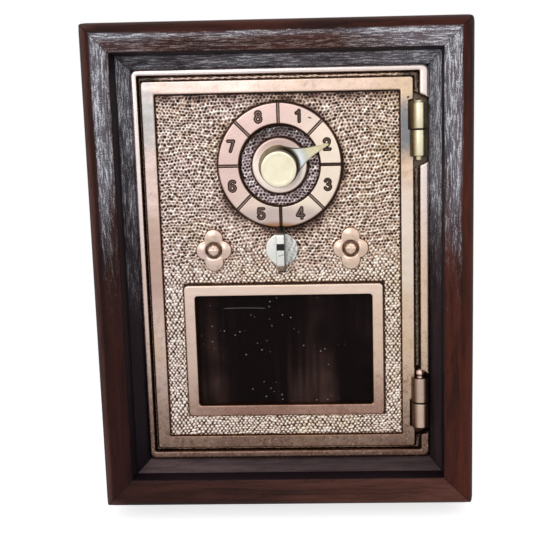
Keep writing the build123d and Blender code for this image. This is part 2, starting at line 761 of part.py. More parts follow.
def turn_clip():
    """Open ring in front of the bolt that keeps the shaft in its bush."""
    start = door_back + bush_thickness + 2 * washer_gap + washer_thickness
    ring = disc(centre_line, turn_z, clip_radius, start, start + clip_thickness)
    ring -= disc(centre_line, turn_z, turn_shaft + pin_fit, start - spill, start + sweep)
    mouth = turn_shaft / 2
    return ring - block(centre_line - mouth, centre_line + mouth, start - spill, start + sweep,
                        turn_z - clip_radius - spill, turn_z)


def fence_lever():
    """Hub, crank pin for the bolt, and the fence blade that passes through the gates."""
    back = wheels_back + fence_clearance
    arm = Pos(0, fence_reach / 2) * Rectangle(fence_width, fence_reach)
    blade = prism(arm, fence_front, back) & disc(0, 0, fence_reach, fence_front, back)
    hub = disc(0, 0, fence_hub, fence_front, back)
    tail_back = fence_front + crank_arm_thickness
    tail = prism(Pos(0, -crank_radius / 2) * Rectangle(2 * crank_arm, crank_radius), fence_front, tail_back)
    tail += disc(0, -crank_radius, crank_arm, fence_front, tail_back)
    pin = disc(0, -crank_radius, crank_pin_radius, bolt_front - 0.2, fence_front + 0.5)
    body = Rot(0, -turn_swing / 2, 0) * (blade + hub + tail + pin)
    body = Pos(centre_line, 0, turn_z) * body
    return body - disc(centre_line, turn_z, turn_shaft + pin_fit, -sweep, wheels_back + sweep)


def fence_nut():
    start = wheels_back + fence_clearance
    nut = hexagon(centre_line, turn_z, fence_nut_across, start, start + nut_thickness)
    return nut - disc(centre_line, turn_z, turn_shaft + pin_fit, start - spill, start + sweep)


def latch_bolt():
    """Flat bolt with a thick bevelled head and a cross slot for the crank pin."""
    low, high = bolt_z - bolt_height / 2, bolt_z + bolt_height / 2
    bar = block(bolt_tip, bolt_tail, bolt_front, bolt_back, low, high)
    head = block(bolt_tip, bolt_tip + bolt_head_length, bolt_front, bolt_front + bolt_head_thickness,
                 low - bolt_head_step, high + bolt_head_step)
    head = chamfer(head.edges().filter_by(Axis.Z).group_by(Axis.X)[0].group_by(Axis.Y)[-1], bolt_bevel)
    slot_low = crank_low - crank_pin_radius - 2 * slide_fit
    slot_high = crank_high + crank_pin_radius + 2 * slide_fit
    half = crank_pin_radius + slide_fit
    return bar + head - block(crank_x - half, crank_x + half, 0, sweep, slot_low, slot_high)


def guide_screw_places():
    reach = bolt_height / 2 + slide_fit + guide_wall / 2
    return [(x, bolt_z + side * reach) for x in (guide_left, guide_right) for side in (-1, 1)]


def bolt_guides():
    """Two staples on the back of the door that carry the bolt."""
    half_window = bolt_height / 2 + slide_fit
    back = bolt_back + slide_fit + guide_bridge
    guides = []
    for x in (guide_left, guide_right):
        body = block(x - guide_width / 2, x + guide_width / 2, door_back, back,
                     bolt_z - half_window - guide_wall, bolt_z + half_window + guide_wall)
        body -= block(x - guide_width, x + guide_width, bolt_front - slide_fit, bolt_back + slide_fit,
                      bolt_z - half_window, bolt_z + half_window)
        for px, pz in guide_screw_places():
            body -= disc(px, pz, machine_screw_radius + screw_fit, door_back - spill, back + spill)
        guides.append(body)
    return guides


def guide_screws():
    back = bolt_back + slide_fit + guide_bridge
    grip = machine_screw_length - retainer_thickness
    one = screw(machine_screw_radius, machine_screw_head, back - door_back + grip, machine_head_height,
                machine_slot)
    return [facing_back(x, back, z) * one for x, z in guide_screw_places()]


# ---- assembly ----------------------------------------------------------------------------
def assemble():
    """Every piece by the name of its node."""
    nodes = {}
    for name, piece in wooden_box().items():
        nodes[name + "_board"] = piece
    for name, piece in liners().items():
        nodes["liner_" + name] = piece
    nodes["back_panel"] = back_panel()
    nodes["back_screws"] = back_screws()
    nodes["bumper_feet"] = bumper_feet()
    nodes["foot_screws"] = foot_screws()
    nodes["door_frame"] = door_frame()
    nodes["frame_screws"] = frame_screws()
    nodes["upper_hinge_pin"] = upper_hinge_pin()
    nodes["lower_hinge_pin"] = lower_hinge_pin()
    nodes["door_casting"] = door_casting()
    nodes["window_glass"] = window_glass()
    nodes["glass_retainer"] = glass_retainer()
    nodes["retainer_screws"] = retainer_screws()
    nodes["spindle_sleeve"] = spindle_sleeve()
    nodes["sleeve_screws"] = sleeve_screws()
    nodes["wheel_spacers"] = wheel_spacers()
    nodes["pointer_knob"] = pointer_knob()
    nodes["spindle"] = spindle()
    nodes["front_wheel"], nodes["middle_wheel"], nodes["drive_wheel"] = wheels()
    nodes["spindle_nut"] = spindle_nut()
    nodes["turn_bush"] = turn_bush()
    nodes["thumb_turn"] = thumb_turn()
    nodes["turn_clip"] = turn_clip()
    nodes["friction_washer"] = friction_washer()
    nodes["fence_lever"] = fence_lever()
    nodes["fence_nut"] = fence_nut()
    nodes["latch_bolt"] = latch_bolt()
    nodes["bolt_guides"] = bolt_guides()
    nodes["guide_screws"] = guide_screws()
    return nodes


def main():
    """Stand the assembly on its feet and write one file for each node."""
    middle_y = (box_back - knob_front) / 2
    stand = Pos(0, -middle_y, box_height / 2 + foot_height)
    os.makedirs("parts", exist_ok=True)
    for name, piece in assemble().items():
        solids = piece if isinstance(piece, list) else [piece]
        placed = [stand * solid for solid in solids]
        export_step(placed[0] if len(placed) == 1 else Compound(children=placed), f"parts/{name}.step")


main()
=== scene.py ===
"""Dressing for a small wooden bank box with a cast brass post office box door in its front.

Lengths inside the functions are millimetres in the casting's own frame: x to the right, y from
the front plane of the brass into the box, z up from the middle of the brass.  place() turns them
into metres in the part's frame.
"""

import math

import bpy
import numpy as np
from bpy.props import FloatProperty, FloatVectorProperty, IntProperty, PointerProperty
from mathutils import Matrix, Vector


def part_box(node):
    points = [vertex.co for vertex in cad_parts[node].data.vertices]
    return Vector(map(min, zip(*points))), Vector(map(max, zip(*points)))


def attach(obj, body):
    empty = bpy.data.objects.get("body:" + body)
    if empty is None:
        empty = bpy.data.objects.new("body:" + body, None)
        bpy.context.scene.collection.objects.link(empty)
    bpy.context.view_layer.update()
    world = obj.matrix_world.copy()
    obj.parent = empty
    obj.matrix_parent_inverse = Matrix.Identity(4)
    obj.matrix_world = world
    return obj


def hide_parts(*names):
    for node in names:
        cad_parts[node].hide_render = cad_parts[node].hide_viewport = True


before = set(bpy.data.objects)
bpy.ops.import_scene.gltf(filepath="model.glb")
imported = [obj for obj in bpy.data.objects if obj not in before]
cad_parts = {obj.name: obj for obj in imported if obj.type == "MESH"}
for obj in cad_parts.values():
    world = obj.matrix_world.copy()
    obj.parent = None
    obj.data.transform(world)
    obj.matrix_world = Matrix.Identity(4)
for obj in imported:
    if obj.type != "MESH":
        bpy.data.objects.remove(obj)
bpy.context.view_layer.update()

bl_info = {
    "name": "Bank Box Door",
    "version": (1, 0, 0),
    "blender": (4, 5, 0),
    "location": "View3D > Sidebar > Bank Box",
    "description": "Finishes a wooden bank box with a cast brass post office box door",
    "category": "Object",
}

MM = 0.001


def node_box(name):
    """Lowest and highest corners of a node, mm."""
    low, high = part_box(name)
    return np.array(low) / MM, np.array(high) / MM


# ---- where the casting lies in the part ----------------------------------------------------
PIN_LOW, PIN_HIGH = node_box("upper_hinge_pin")
FRAME_LOW, FRAME_HIGH = node_box("door_frame")
HINGE_PROUD = 0.6
ORIGIN = np.array([(FRAME_LOW[0] + FRAME_HIGH[0]) / 2,
                   (PIN_LOW[1] + PIN_HIGH[1]) / 2 + HINGE_PROUD,
                   (FRAME_LOW[2] + FRAME_HIGH[2]) / 2])


def local_box(name):
    """Corners of a node in the casting's frame, mm."""
    low, high = node_box(name)
    return low - ORIGIN, high - ORIGIN


def local_middle(name):
    """Middle of a node in the casting's frame, mm."""
    low, high = local_box(name)
    return (low + high) / 2


# ---- sizes read from the frame, mm ---------------------------------------------------------
FRAME_X = FRAME_HIGH[0] - ORIGIN[0]
FRAME_Z = FRAME_HIGH[2] - ORIGIN[2]
INNER_X = local_box("liner_right")[1][0]
INNER_Z = local_box("liner_top")[1][2]
OUTER_X = local_box("right_board")[1][0]
OUTER_Z = local_box("top_board")[1][2]
WOOD_FRONT = local_box("left_board")[0][1]
HINGE_X = local_middle("upper_hinge_pin")[0]
DIAL_X, _, DIAL_Z = local_middle("spindle")
TURN_Z = local_middle("fence_nut")[2]
WINDOW_Z = local_middle("window_glass")[2]
KNOB_FRONT = local_box("pointer_knob")[0][1]
(DOOR_LEFT, _, DOOR_BOTTOM), (_, _, DOOR_TOP) = local_box("door_casting")

SKIN = 0.04              # a dressed surface lies this far outside the solid it covers
PROUD = 0.12             # a worn, wavy face stands this far ahead of the solid's flat one
COVER = 0.15             # past a sharp edge of the solid, so that a rounded one covers it


# ---- settings ------------------------------------------------------------------------------
def length(name, text, size):
    """A length setting, its default in millimetres."""
    return FloatProperty(name=name, description=text, default=size * MM, unit="LENGTH")


def tone(red, green, blue):
    """A colour given as it shows on a screen, 0 to 255, in linear light: ((c + 0.055) / 1.055) ** 2.4."""
    levels = [value / 255 for value in (red, green, blue)]
    return tuple(c / 12.92 if c <= 0.04045 else ((c + 0.055) / 1.055) ** 2.4 for c in levels)


def colour(name, text, red, green, blue):
    """A colour setting."""
    return FloatVectorProperty(name=name, description=text, default=tone(red, green, blue), size=3,
                               subtype="COLOR", min=0, max=1, unit="NONE")


class WoodSettings(bpy.types.PropertyGroup):
    """Stain and pores of the boards."""
    deep: colour("Deep stain", "Darkest tone of the stained wood", 24, 12, 13)
    warm: colour("Warm stain", "Red brown of the lighter grain", 98, 47, 34)
    lining: colour("Lining", "Tone of the bevelled lining strips", 74, 56, 56)
    # bluish flecks: bloom of the old finish with a painted sheen over it
    bloom: colour("Bloom", "Bluish sheen of the old finish on the front faces", 246, 248, 255)
    haze: colour("Haze", "Greyish brown flecks between the bluish streaks", 150, 128, 122)
    arris: length("Arris", "Radius of the rounded front edges", 3.2)
    long_arris: length("Long arris", "Radius of the four edges that run back", 2.2)


class BrassSettings(bpy.types.PropertyGroup):
    """Colours of the castings."""
    cool: colour("Cool", "Pinkish white metal at the top left", 240, 214, 206)
    peach: colour("Peach", "Rubbed copper tone towards the right", 242, 212, 190)
    gold: colour("Gold", "Metal where the lacquer is left", 222, 194, 142)
    bronze: colour("Bronze", "Dull brown metal low on the door", 106, 76, 66)
    # also laid as painted shade over the pieces at the back, which lie in recesses
    crevice: colour("Crevice", "Dirt in the hollows", 34, 24, 16)
    # painted shade: brown gold on edges that turn away from the front
    edging: colour("Edging", "Brown gold lines along worn edges", 140, 98, 58)
    pale: colour("Pale brass", "Metal of the pointer", 250, 241, 214)
    pitch: length("Pebble pitch", "Distance between the pits of the field", 1.08)
    relief: length("Pebble relief", "Depth of the pits", 0.40)


class DialSettings(bpy.types.PropertyGroup):
    """The numbered ring."""
    sectors: IntProperty(name="Sectors", description="Numbered sectors on the dial", default=8, min=1, max=8)
    figure: length("Figure height", "Height of the numerals", 4.15)
    stroke: length("Stroke", "Width of the numerals' strokes", 0.98)
    depth: length("Depth", "Depth of the numerals and grooves", 0.3)


class StageSettings(bpy.types.PropertyGroup):
    """Camera and lamps."""
    focal: FloatProperty(name="Focal length", description="Lens of the camera, mm", default=54.03)
    key: FloatProperty(name="Key", description="Power of the key lamp", default=1.2, unit="POWER")
    fill: FloatProperty(name="Fill", description="Power of the fill lamp", default=0.7, unit="POWER")
    world: FloatProperty(name="World", description="Strength of the even light", default=0.55)


GROUPS = {"bank_wood": WoodSettings, "bank_brass": BrassSettings, "bank_dial": DialSettings,
          "bank_stage": StageSettings}


def setting(group, name):
    """A setting; lengths come back in millimetres."""
    value = getattr(getattr(bpy.context.scene, group), name)
    unit = GROUPS[group].bl_rna.properties[name].unit
    return value / MM if unit == "LENGTH" else value


# ---- meshes --------------------------------------------------------------------------------
WELD = 1e-4              # mm; points in one cell of this size are one
OFF_GRID = 0.123         # keeps round numbers away from the borders between cells


def place(points):
    """Millimetres in the casting's frame to metres in the part's frame."""
    return (np.asarray(points, float) + ORIGIN) * MM


def grid_faces(rows, columns, wrap_rows=False, wrap_columns=False, keep=None):
    """Quads of a grid of points: each joins a point, its neighbour along the row, and the two after."""
    i = np.arange(rows if wrap_rows else rows - 1)
    j = np.arange(columns if wrap_columns else columns - 1)
    i, j = np.meshgrid(i, j, indexing="ij")
    i1, j1 = (i + 1) % rows, (j + 1) % columns
    quads = np.stack([i * columns + j, i * columns + j1, i1 * columns + j1, i1 * columns + j], axis=-1)
    quads = quads.reshape(-1, 4)
    return quads if keep is None else quads[keep.reshape(-1)]


def make_mesh(name, points, faces, body, finish, relief=None, replaces=()):
    """One object from an array of points and one of quads, riding on a body.  Points in one place, as
    at seams and poles, become one, and a quad's corner that repeats the one before it is dropped.  An
    edge along a seam is sharp."""
    points = np.asarray(points, float).reshape(-1, 3)
    used, faces = np.unique(faces, return_inverse=True)
    relief = np.ones(len(used)) if relief is None else np.asarray(relief, float).ravel()[used]
    cells = np.round(points[used] / WELD + OFF_GRID).astype(np.int64)
    spots = cells @ [1 << 42, 1 << 21, 1]
    _, first, same, count = np.unique(spots, return_index=True, return_inverse=True, return_counts=True)
    points, relief = points[used][first], relief[first]
    faces = same.reshape(-1)[faces].reshape(-1, 4)
    corners = faces != np.roll(faces, 1, axis=1)
    corners &= corners.sum(axis=1, keepdims=True) > 2
    sides = corners.sum(axis=1)
    sides = sides[sides > 0]
    mesh = bpy.data.meshes.new(name)
    mesh.vertices.add(len(points))
    mesh.vertices.foreach_set("co", place(points).ravel())
    mesh.loops.add(int(sides.sum()))
    mesh.loops.foreach_set("vertex_index", faces[corners])
    mesh.polygons.add(len(sides))
    mesh.polygons.foreach_set("loop_start", np.cumsum(sides) - sides)
    mesh.polygons.foreach_set("loop_total", sides)
    mesh.polygons.foreach_set("use_smooth", np.full(len(sides), True))
    mesh.update(calc_edges=True)
    ends = np.zeros(2 * len(mesh.edges), int)
    mesh.edges.foreach_get("vertices", ends)
    seam = (count > 1)[ends].reshape(-1, 2).all(axis=1)
    mesh.attributes.new("sharp_edge", "BOOLEAN", "EDGE").data.foreach_set("value", seam)
    normals = np.zeros(3 * len(points))
    mesh.vertex_normals.foreach_get("vector", normals)
    for layer, values in (("relief", relief), ("facing", -normals[1::3])):
        mesh.attributes.new(layer, "FLOAT", "POINT").data.foreach_set("value", values)
    mesh.validate()
    mesh.materials.append(finish)
    made = bpy.data.objects.new(name, mesh)
    bpy.context.scene.collection.objects.link(made)
    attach(made, body)
    if replaces:
        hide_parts(*replaces)


def join_grids(grids):
    """Several (points, faces, relief) grids as one."""
    points, faces, relief, start = [], [], [], 0
    for p, f, r in grids:
        p = np.asarray(p, float).reshape(-1, 3)
        points.append(p)
        faces.append(f + start)
        relief.append(np.ones(len(p)) if r is None else np.asarray(r, float).ravel())
        start += len(p)
    return np.vstack(points), np.vstack(faces), np.concatenate(relief)


def sheet(points, keep=None):
    """A grid of points that runs down and across, as (points, faces, relief) with faces to the front."""
    return points, grid_faces(*points.shape[:2], keep=keep)[:, ::-1], None


def circle(turns):
    """Angles round a circle."""
    return np.linspace(0, 2 * np.pi, turns, endpoint=False)


def quarter(steps):
    """Angles of a quarter turn."""
    return np.radians(np.linspace(0, 90, steps))


def ray(angle):
    """A unit vector at each angle."""
    return np.stack([np.cos(angle), np.sin(angle)], axis=-1)


def smoothstep(low, high, value):
    """0 below low, 1 above high, and 3t2 - 2t3 between."""
    t = np.clip((value - low) / (high - low), 0, 1)
    return t * t * (3 - 2 * t)


def waves(x, z, scale, seed):
    """Smooth waviness, mostly from -1 to 1: nine sine waves in seeded directions, summed and divided by
    half their number."""
    rng = np.random.default_rng(seed)
    total = np.zeros_like(np.asarray(x, float))
    for _ in range(9):
        angle, phase = rng.uniform(0, 2 * np.pi, 2)
        k = 2 * np.pi / (scale * rng.uniform(0.6, 1.8))
        total += np.sin(k * (np.cos(angle) * x + np.sin(angle) * z) + phase)
    return total / (9 / 2)


def side_path(x0, x1, z0, z1, radius, side, straight, arc):
    """One side of a rounded rectangle, from the middle of one corner's arc to the middle of the next.

    Side 0 is the top, then clockwise.  A point is the corner's centre plus the radius along an angle
    that runs 45 degrees each side of the side's own normal."""
    centres = [(x0 + radius, z1 - radius), (x1 - radius, z1 - radius),
               (x1 - radius, z0 + radius), (x0 + radius, z0 + radius)]
    normal = math.radians(90 - 90 * side)
    first, last = np.array(centres[side]), np.array(centres[(side + 1) % 4])
    turn = np.radians(np.linspace(45, 0, arc))
    start, end = first + radius * ray(normal + turn), last + radius * ray(normal - turn[::-1])
    share = np.linspace(0, 1, straight + 1)[1:-1, None]
    return np.vstack([start, start[-1] * (1 - share) + end[0] * share, end])


def moulding(outer, inner, outer_radius, inner_radius, profile, side, straight=60, arc=5):
    """A profile carried along one side of a frame.

    A profile point (f, y) lies a share f of the way from the inner rectangle to the outer one, at
    depth y; shares below 0 and above 1 go on past them."""
    out = side_path(*outer, outer_radius, side, straight, arc)
    inn = side_path(*inner, inner_radius, side, straight, arc)
    profile = np.asarray(profile, float)
    share = profile[:, 0][None, :, None]
    flat = inn[:, None, :] * (1 - share) + out[:, None, :] * share
    depth = np.broadcast_to(profile[:, 1][None, :], flat.shape[:2])
    return np.stack([flat[..., 0], depth, flat[..., 1]], axis=-1)


def rounded(points, radius, steps=5):
    """A polyline whose inside corners become curves that touch its sides where an arc of the given
    radius would, or short of their middles."""
    points = [np.array(p, float) for p in points]
    path = [points[0]]
    for before, corner, after in zip(points, points[1:], points[2:]):
        a, b = before - corner, after - corner
        la, lb = np.linalg.norm(a), np.linalg.norm(b)
        a, b = a / la, b / lb
        half = math.acos(np.clip(a @ b, -1, 1)) / 2
        reach = min(radius / math.tan(half), la * 0.49, lb * 0.49)
        p, q = corner + a * reach, corner + b * reach
        for t in np.linspace(0, 1, steps):
            path.append(p * (1 - t) ** 2 + corner * 2 * t * (1 - t) + q * t ** 2)
    path.append(points[-1])
    return np.array(path)


def flat_section(width, front, walls, ease, steps, inset, count):
    """A flat top with rounded edges and a wall at each side, as (share of the width, depth).  The flat
    has a count of points of its own, from an inset at one side to the same at the other."""
    path = rounded([(0, walls[0]), (0, front), (width, front), (width, walls[1])], ease, steps)
    flat = np.column_stack([np.linspace(inset, width - inset, count), np.full(count, front)])
    middle = len(path) // 2
    return np.vstack([path[:middle], flat, path[middle:]]) / [width, 1]


def disc_section(radius, front, back, ease, steps, inner, count):
    """A disc's face and rounded edge, as (radius, depth) from its middle to its back."""
    path = rounded([(0, front), (radius, front), (radius, back)], ease, steps)
    face = np.column_stack([np.linspace(0, inner, count), np.full(count, front)])
    return np.vstack([face, path[1:]])


def revolve(profile, centre, turns, upright=False):
    """A profile of (radius, distance along the axis) turned about an axis.

    The axis runs into the box at (x, z), or stands upright at (x, y).  A point is the centre plus the
    radius times (cos, sin) of its angle."""
    radius, along = np.asarray(profile, float).T
    angle = circle(turns)[:, None]
    first, second = centre[0] + np.cos(angle) * radius, centre[1] + np.sin(angle) * radius
    along = np.broadcast_to(along, first.shape)
    order = (first, second, along) if upright else (first, along, second)
    return np.stack(order, axis=-1), grid_faces(turns, len(radius), wrap_rows=True)


# ---- shader maths --------------------------------------------------------------------------
OBJECT = 3               # place of the object coordinates among Texture Coordinate's outputs


class Wire:
    """An output socket that Python's operators turn into Math nodes."""

    def __init__(self, paint, socket):
        self.paint = paint
        self.socket = socket

    def math(self, operation, *values):
        """A Math node whose first value is this wire."""
        sockets = {index: value for index, value in enumerate((self, *values))}
        return self.paint.node("Math", {"operation": operation}, sockets)

    def __add__(self, other):
        return self.math("ADD", other)

    def __mul__(self, other):
        return self.math("MULTIPLY", other)

    def __sub__(self, other):
        return self.math("SUBTRACT", other)

    def __rsub__(self, other):
        return self.paint.node("Math", {"operation": "SUBTRACT"}, {0: other, 1: self})

    def __truediv__(self, other):
        return self.math("DIVIDE", other)

    def __pow__(self, other):
        return self.math("POWER", other)

    def __abs__(self):
        return self.math("ABSOLUTE")

    __radd__ = __add__
    __rmul__ = __mul__

    def step(self, low, high):
        """0 to 1 between low and high, eased."""
        return self.paint.node("MapRange", {"interpolation_type": "SMOOTHSTEP"},
                               {"Value": self, "From Min": low, "From Max": high})


class Paint:
    """The nodes of a material or world under construction, and the shade that is laid up in it."""

    def __init__(self, owner):
        self.owner = owner
        owner.use_nodes = True
        self.tree = owner.node_tree
        self.tree.nodes.clear()
        self.shade = None

    def node(self, kind, settings=None, values=None, out=0):
        """Add a node: its settings first, then the values or wires of its sockets."""
        made = self.tree.nodes.new("ShaderNode" + kind)
        for key, value in (settings or {}).items():
            setattr(made, key, value)
        for key, value in (values or {}).items():
            if isinstance(value, Wire):
                self.tree.links.new(value.socket, made.inputs[key])
            else:
                made.inputs[key].default_value = value
        return Wire(self, made.outputs[out]) if len(made.outputs) else None

    def place(self, stretch=(1, 1, 1)):
        """Object coordinates, scaled along each axis."""
        return self.node("Mapping", None, {"Vector": self.node("TexCoord", out=OBJECT), "Scale": stretch})

    def axis(self, name):
        """One of the three object coordinates, in millimetres of the casting's frame."""
        index = "XYZ".index(name)
        whole = self.node("SeparateXYZ", None, {0: self.node("TexCoord", out=OBJECT)}, out=index)
        return whole / MM - float(ORIGIN[index])

    def from_dial(self):
        """Places right of the dial's middle and above it, mm."""
        return self.axis("X") - DIAL_X, self.axis("Z") - DIAL_Z

    def noise(self, scale, detail=3.0, rough=0.5, stretch=(1, 1, 1), distortion=0.0):
        """Cloudy noise over the object coordinates."""
        return self.node("TexNoise", None, {"Vector": self.place(stretch), "Scale": scale, "Detail": detail,
                                            "Roughness": rough, "Distortion": distortion})

    def mix(self, first, second, share, blend="MIX"):
        """Mix two colours or colour wires by a share."""
        def colour_of(value):
            return value if isinstance(value, Wire) else (*value, 1)
        return self.node("Mix", {"data_type": "RGBA", "blend_type": blend},
                         {0: share, 6: colour_of(first), 7: colour_of(second)}, out=2)

    def lay(self, colour, share, blend="MIX"):
        """Mix a colour over the shade by a share."""
        self.shade = self.mix(self.shade, colour, share, blend)

    def lay_under(self, colour, share):
        """Keep only a share of the shade, over a colour."""
        self.shade = self.mix(colour, self.shade, share)

    def baked(self, name):
        """A number kept on the mesh: relief is 0 in hollows and 1 on tops, and on some pieces it also carries
        painted light and shade; facing is 1 on flat fronts.
        """
        return self.node("Attribute", {"attribute_name": name}, out=2)

    def bump(self, height, distance, strength, under=None):
        """Normals tilted by a height, of which 1 stands for a distance in millimetres."""
        values = {"Height": height, "Distance": distance * MM, "Strength": strength}
        if under is not None:
            values["Normal"] = under
        return self.node("Bump", None, values)

    def soften(self, radius):
        """Normals rounded over the edges of a solid."""
        return self.node("Bevel", {"samples": 6}, {"Radius": radius * MM})

    def finish(self, **values):
        """The surface in the shade laid up.  The other values go to its sockets; _ stands for a space."""
        sockets = {key.replace("_", " "): value for key, value in values.items()}
        shader = self.node("BsdfPrincipled", None, {"Base Color": self.shade, **sockets})
        self.node("OutputMaterial", None, {"Surface": shader})
        return self.owner


# ---- materials -----------------------------------------------------------------------------
def scaled(colour, by):
    """A colour made darker or lighter."""
    return [min(1, c * by) for c in colour]


def lining_bloom_and_sheen(paint, level, patch):
    """Painted sheen of the lining over bloom of its old finish: haze and streaks from the top down, and sheen
    along the lower strip.
    """
    side, height = paint.axis("X"), paint.axis("Z")
    high = height.step(-34.0, 44.0)
    corner = abs(side).step(20.0, 56.0) * height.step(-5.0, 60.0)
    haze = high * 0.45 + 0.04
    streak = high * (patch * 0.70 + 0.45) + corner * side.step(-20.0, 20.0) * 1.6
    sheen = (2.0 - side.step(-60.0, 20.0)) * (1 - height.step(-1.0, 1.0)) if level else 0.0
    return haze, streak, sheen


def board_bloom_and_sheen(paint, level, patch):
    """Painted sheen of a board's front over bloom of its old finish: haze and streaks in a band on the flat,
    thinner towards the opening, a painted gleam along the left arris, and painted sheen along the bottom
    board, stronger to the right."""
    side, height = paint.axis("X"), paint.axis("Z")
    high = height.step(-34.0, 44.0)
    corner = abs(side).step(20.0, 56.0) * height.step(-5.0, 60.0)
    inside = (OUTER_X - abs(side)).math("MINIMUM", OUTER_Z - abs(height))
    sheen = inside.step(0.5, 1.3) * (1 - inside.step(1.9, 3.0)) * (1 - side.step(-56.0, -50.0)) * 0.9
    if level:
        flat, inner = inside.step(2.9, 4.2), inside.step(4.0, 6.2) * 0.75
        sheen = sheen + side.step(-90.0, 50.0) * (1 - height.step(-1.0, 1.0))
    else:
        sweep = paint.noise(1.0, 2.0, 0.5, (40, 40, 40)) * 3.0 - 1.5
        flat, inner = (inside + sweep * 0.5).step(3.1, 4.5), (inside + sweep).step(5.0, 9.5) * 0.65
    band = flat * (1 - inner * (1 - side.step(0.0, 50.0) * 0.6))
    haze = flat * (high * (1.0 if level else 0.7) + 0.04)
    streak = band * (high * (patch * 0.7 + (0.6 if level else 0.35)) + corner * 1.2)
    return haze, streak, sheen


def wood(paint, along, mitre=None, light=1.0, lining=False):
    """Dark stained hardwood with open pores that run along one axis.

    Broken bluish flecks lie on the front faces and on the lining, thick near the top and gone near the foot:
    bloom of the old finish with a painted sheen over it.  A painted sheen also lies along the foot and the
    left arris, and painted shade darkens the left of the box and the boards' inner walls."""
    # glow is the tone of the painted sheen along the foot and the left arris
    deep, warm, glow = setting("bank_wood", "deep"), setting("bank_wood", "warm"), tone(128, 86, 77)
    if lining:
        deep, warm, glow = tone(34, 26, 31), setting("bank_wood", "lining"), tone(116, 95, 97)

    def run(along_scale, across_scale):
        """A scale along the grain and one across it."""
        return [along_scale if axis == along else across_scale for axis in "XYZ"]

    figure = paint.noise(1.0, 5.0, 0.6, run(22, 260), 0.6)
    fibres = paint.noise(1.0, 2.0, 0.5, run(150, 2200))
    pores = paint.noise(1.0, 2.0, 0.55, run(420, 2300), 0.4).step(0.60, 0.70)
    cloud = paint.noise(26.0, 2.0)
    paint.shade = paint.mix(scaled(deep, light), scaled(warm, light),
                            (figure * 0.75 + cloud * 0.25).step(0.28, 0.72))
    paint.lay(scaled(warm, 1.4), fibres.step(0.55, 0.75) * 0.22)
    side, height = paint.axis("X"), paint.axis("Z")
    if mitre:
        # painted shade: the left of the box is darker and bluer, more so low down
        left = (side * -0.9 - height * 0.3 + cloud * 20.0).step(-25.0, 75.0)
        paint.lay((0.36, 0.38, 0.50), left * 0.95, "MULTIPLY")
        crackle = paint.noise(1.0, 5.0, 0.75, run(230, 2600), 0.5)
        fleck = (crackle * 0.7 + paint.noise(3400.0, 2.0, 0.6) * 0.3).step(0.46, 0.64)
        patch = paint.noise(1.0, 3.0, 0.6, run(45, 160)).step(0.36, 0.64)
        # painted sheen over bloom of the old finish: bluish flecks and streaks, thickest near the top
        bloom = lining_bloom_and_sheen if lining else board_bloom_and_sheen
        haze, streak, sheen = bloom(paint, along == "X", patch)
        # painted sheen along the foot and the left arris
        paint.lay(glow, sheen * (figure.step(0.35, 0.65) * 0.25 + fibres.step(0.4, 0.6) * 0.15 + 0.2))
        # painted sheen: a bluish grey veil along the streaks
        paint.lay(tone(142, 139, 153), (streak * 0.8).step(0.1, 1.1) * 0.55)
        paint.lay(setting("bank_wood", "haze"), (haze * (fleck + 0.04)).step(0.0, 1.0))
        paint.lay(setting("bank_wood", "bloom"), (streak * fleck * 1.1).step(0.05, 1.1))
        line = abs(abs(side) - abs(height) + mitre)
        paint.lay_under(tone(16, 9, 10), line.step(0.05, 0.16))
    paint.lay(scaled(deep, 0.5), pores * (0.25 if mitre else 0.75))
    if mitre and not lining:
        # painted shade: the boards' inner walls inside the opening are nearly black
        wall = (abs(side).step(INNER_X + 0.02, INNER_X + 0.3)
                .math("MAXIMUM", abs(height).step(INNER_Z + 0.02, INNER_Z + 0.3)))
        paint.lay_under(tone(30, 20, 27), wall)
    normal = paint.bump(fibres * 0.25 - pores + figure * 0.2, 0.07, 0.8, paint.soften(0.5))
    rough = (fibres * 0.16 + pores * 0.25 + 0.36).step(0.0, 1.0) * 0.8 + 0.1
    return paint.finish(Roughness=rough, Normal=normal, Specular_IOR_Level=0.12)


def raised_marks(paint, cloud, mottle, **others):
    """Door border: cold metal at the top left, soot by the upper hinge, a bright right, a ruddy left."""
    side, rise = paint.axis("X"), paint.axis("Z")
    chill = (1 - side.step(-39.5, -35.0)) * rise.step(8.0, 52.0) * (cloud.step(0.35, 0.65) * 0.9 + 0.25)
    paint.lay(tone(176, 180, 182), chill.step(0.1, 1.0) * 0.8)
    sooty = (1 - abs(rise - 42.0).step(3.0, 13.0)) * side.step(33.2, 36.6) * (0.3 + mottle)
    paint.lay(tone(136, 138, 142), sooty.step(0.05, 0.85))
    bright = (1 - abs(rise - 8.0).step(10.0, 22.0)) * side.step(30.0, 36.0)
    paint.lay(tone(255, 240, 228), bright * 0.7)
    ruddy = (1 - abs(rise - 2.0).step(6.0, 22.0)) * (1 - side.step(-39.0, -35.0))
    paint.lay(tone(196, 160, 146), ruddy * 0.7)


def ring_marks(paint, drift, **others):
    """Ring: pink at the top left to cream at the right, mauve clouds, and painted shade of orange brown along
    its foot.
    """
    side, rise = paint.from_dial()
    paint.shade = paint.mix(tone(230, 200, 192), tone(252, 234, 215),
                            (side - rise * 0.8 + drift * 14.0).step(-10.0, 24.0))
    paint.lay(tone(198, 172, 172), drift.step(0.48, 0.66) * (1 - side.step(-4.0, 12.0)) * 0.7)
    low = drift * 6.0 - rise - abs(side) * 0.10
    paint.lay(tone(186, 166, 168), low.step(13.0, 17.0) * 0.6)
    # painted shade: orange brown on the lowest part of the ring, which faces down
    paint.lay(tone(172, 118, 74), low.step(19.3, 21.0) * 0.85)


def bead_marks(paint, **others):
    """Bead: darker down both sides."""
    paint.lay(tone(54, 58, 56), abs(paint.axis("X")).step(34.0, 38.0) * 0.85)


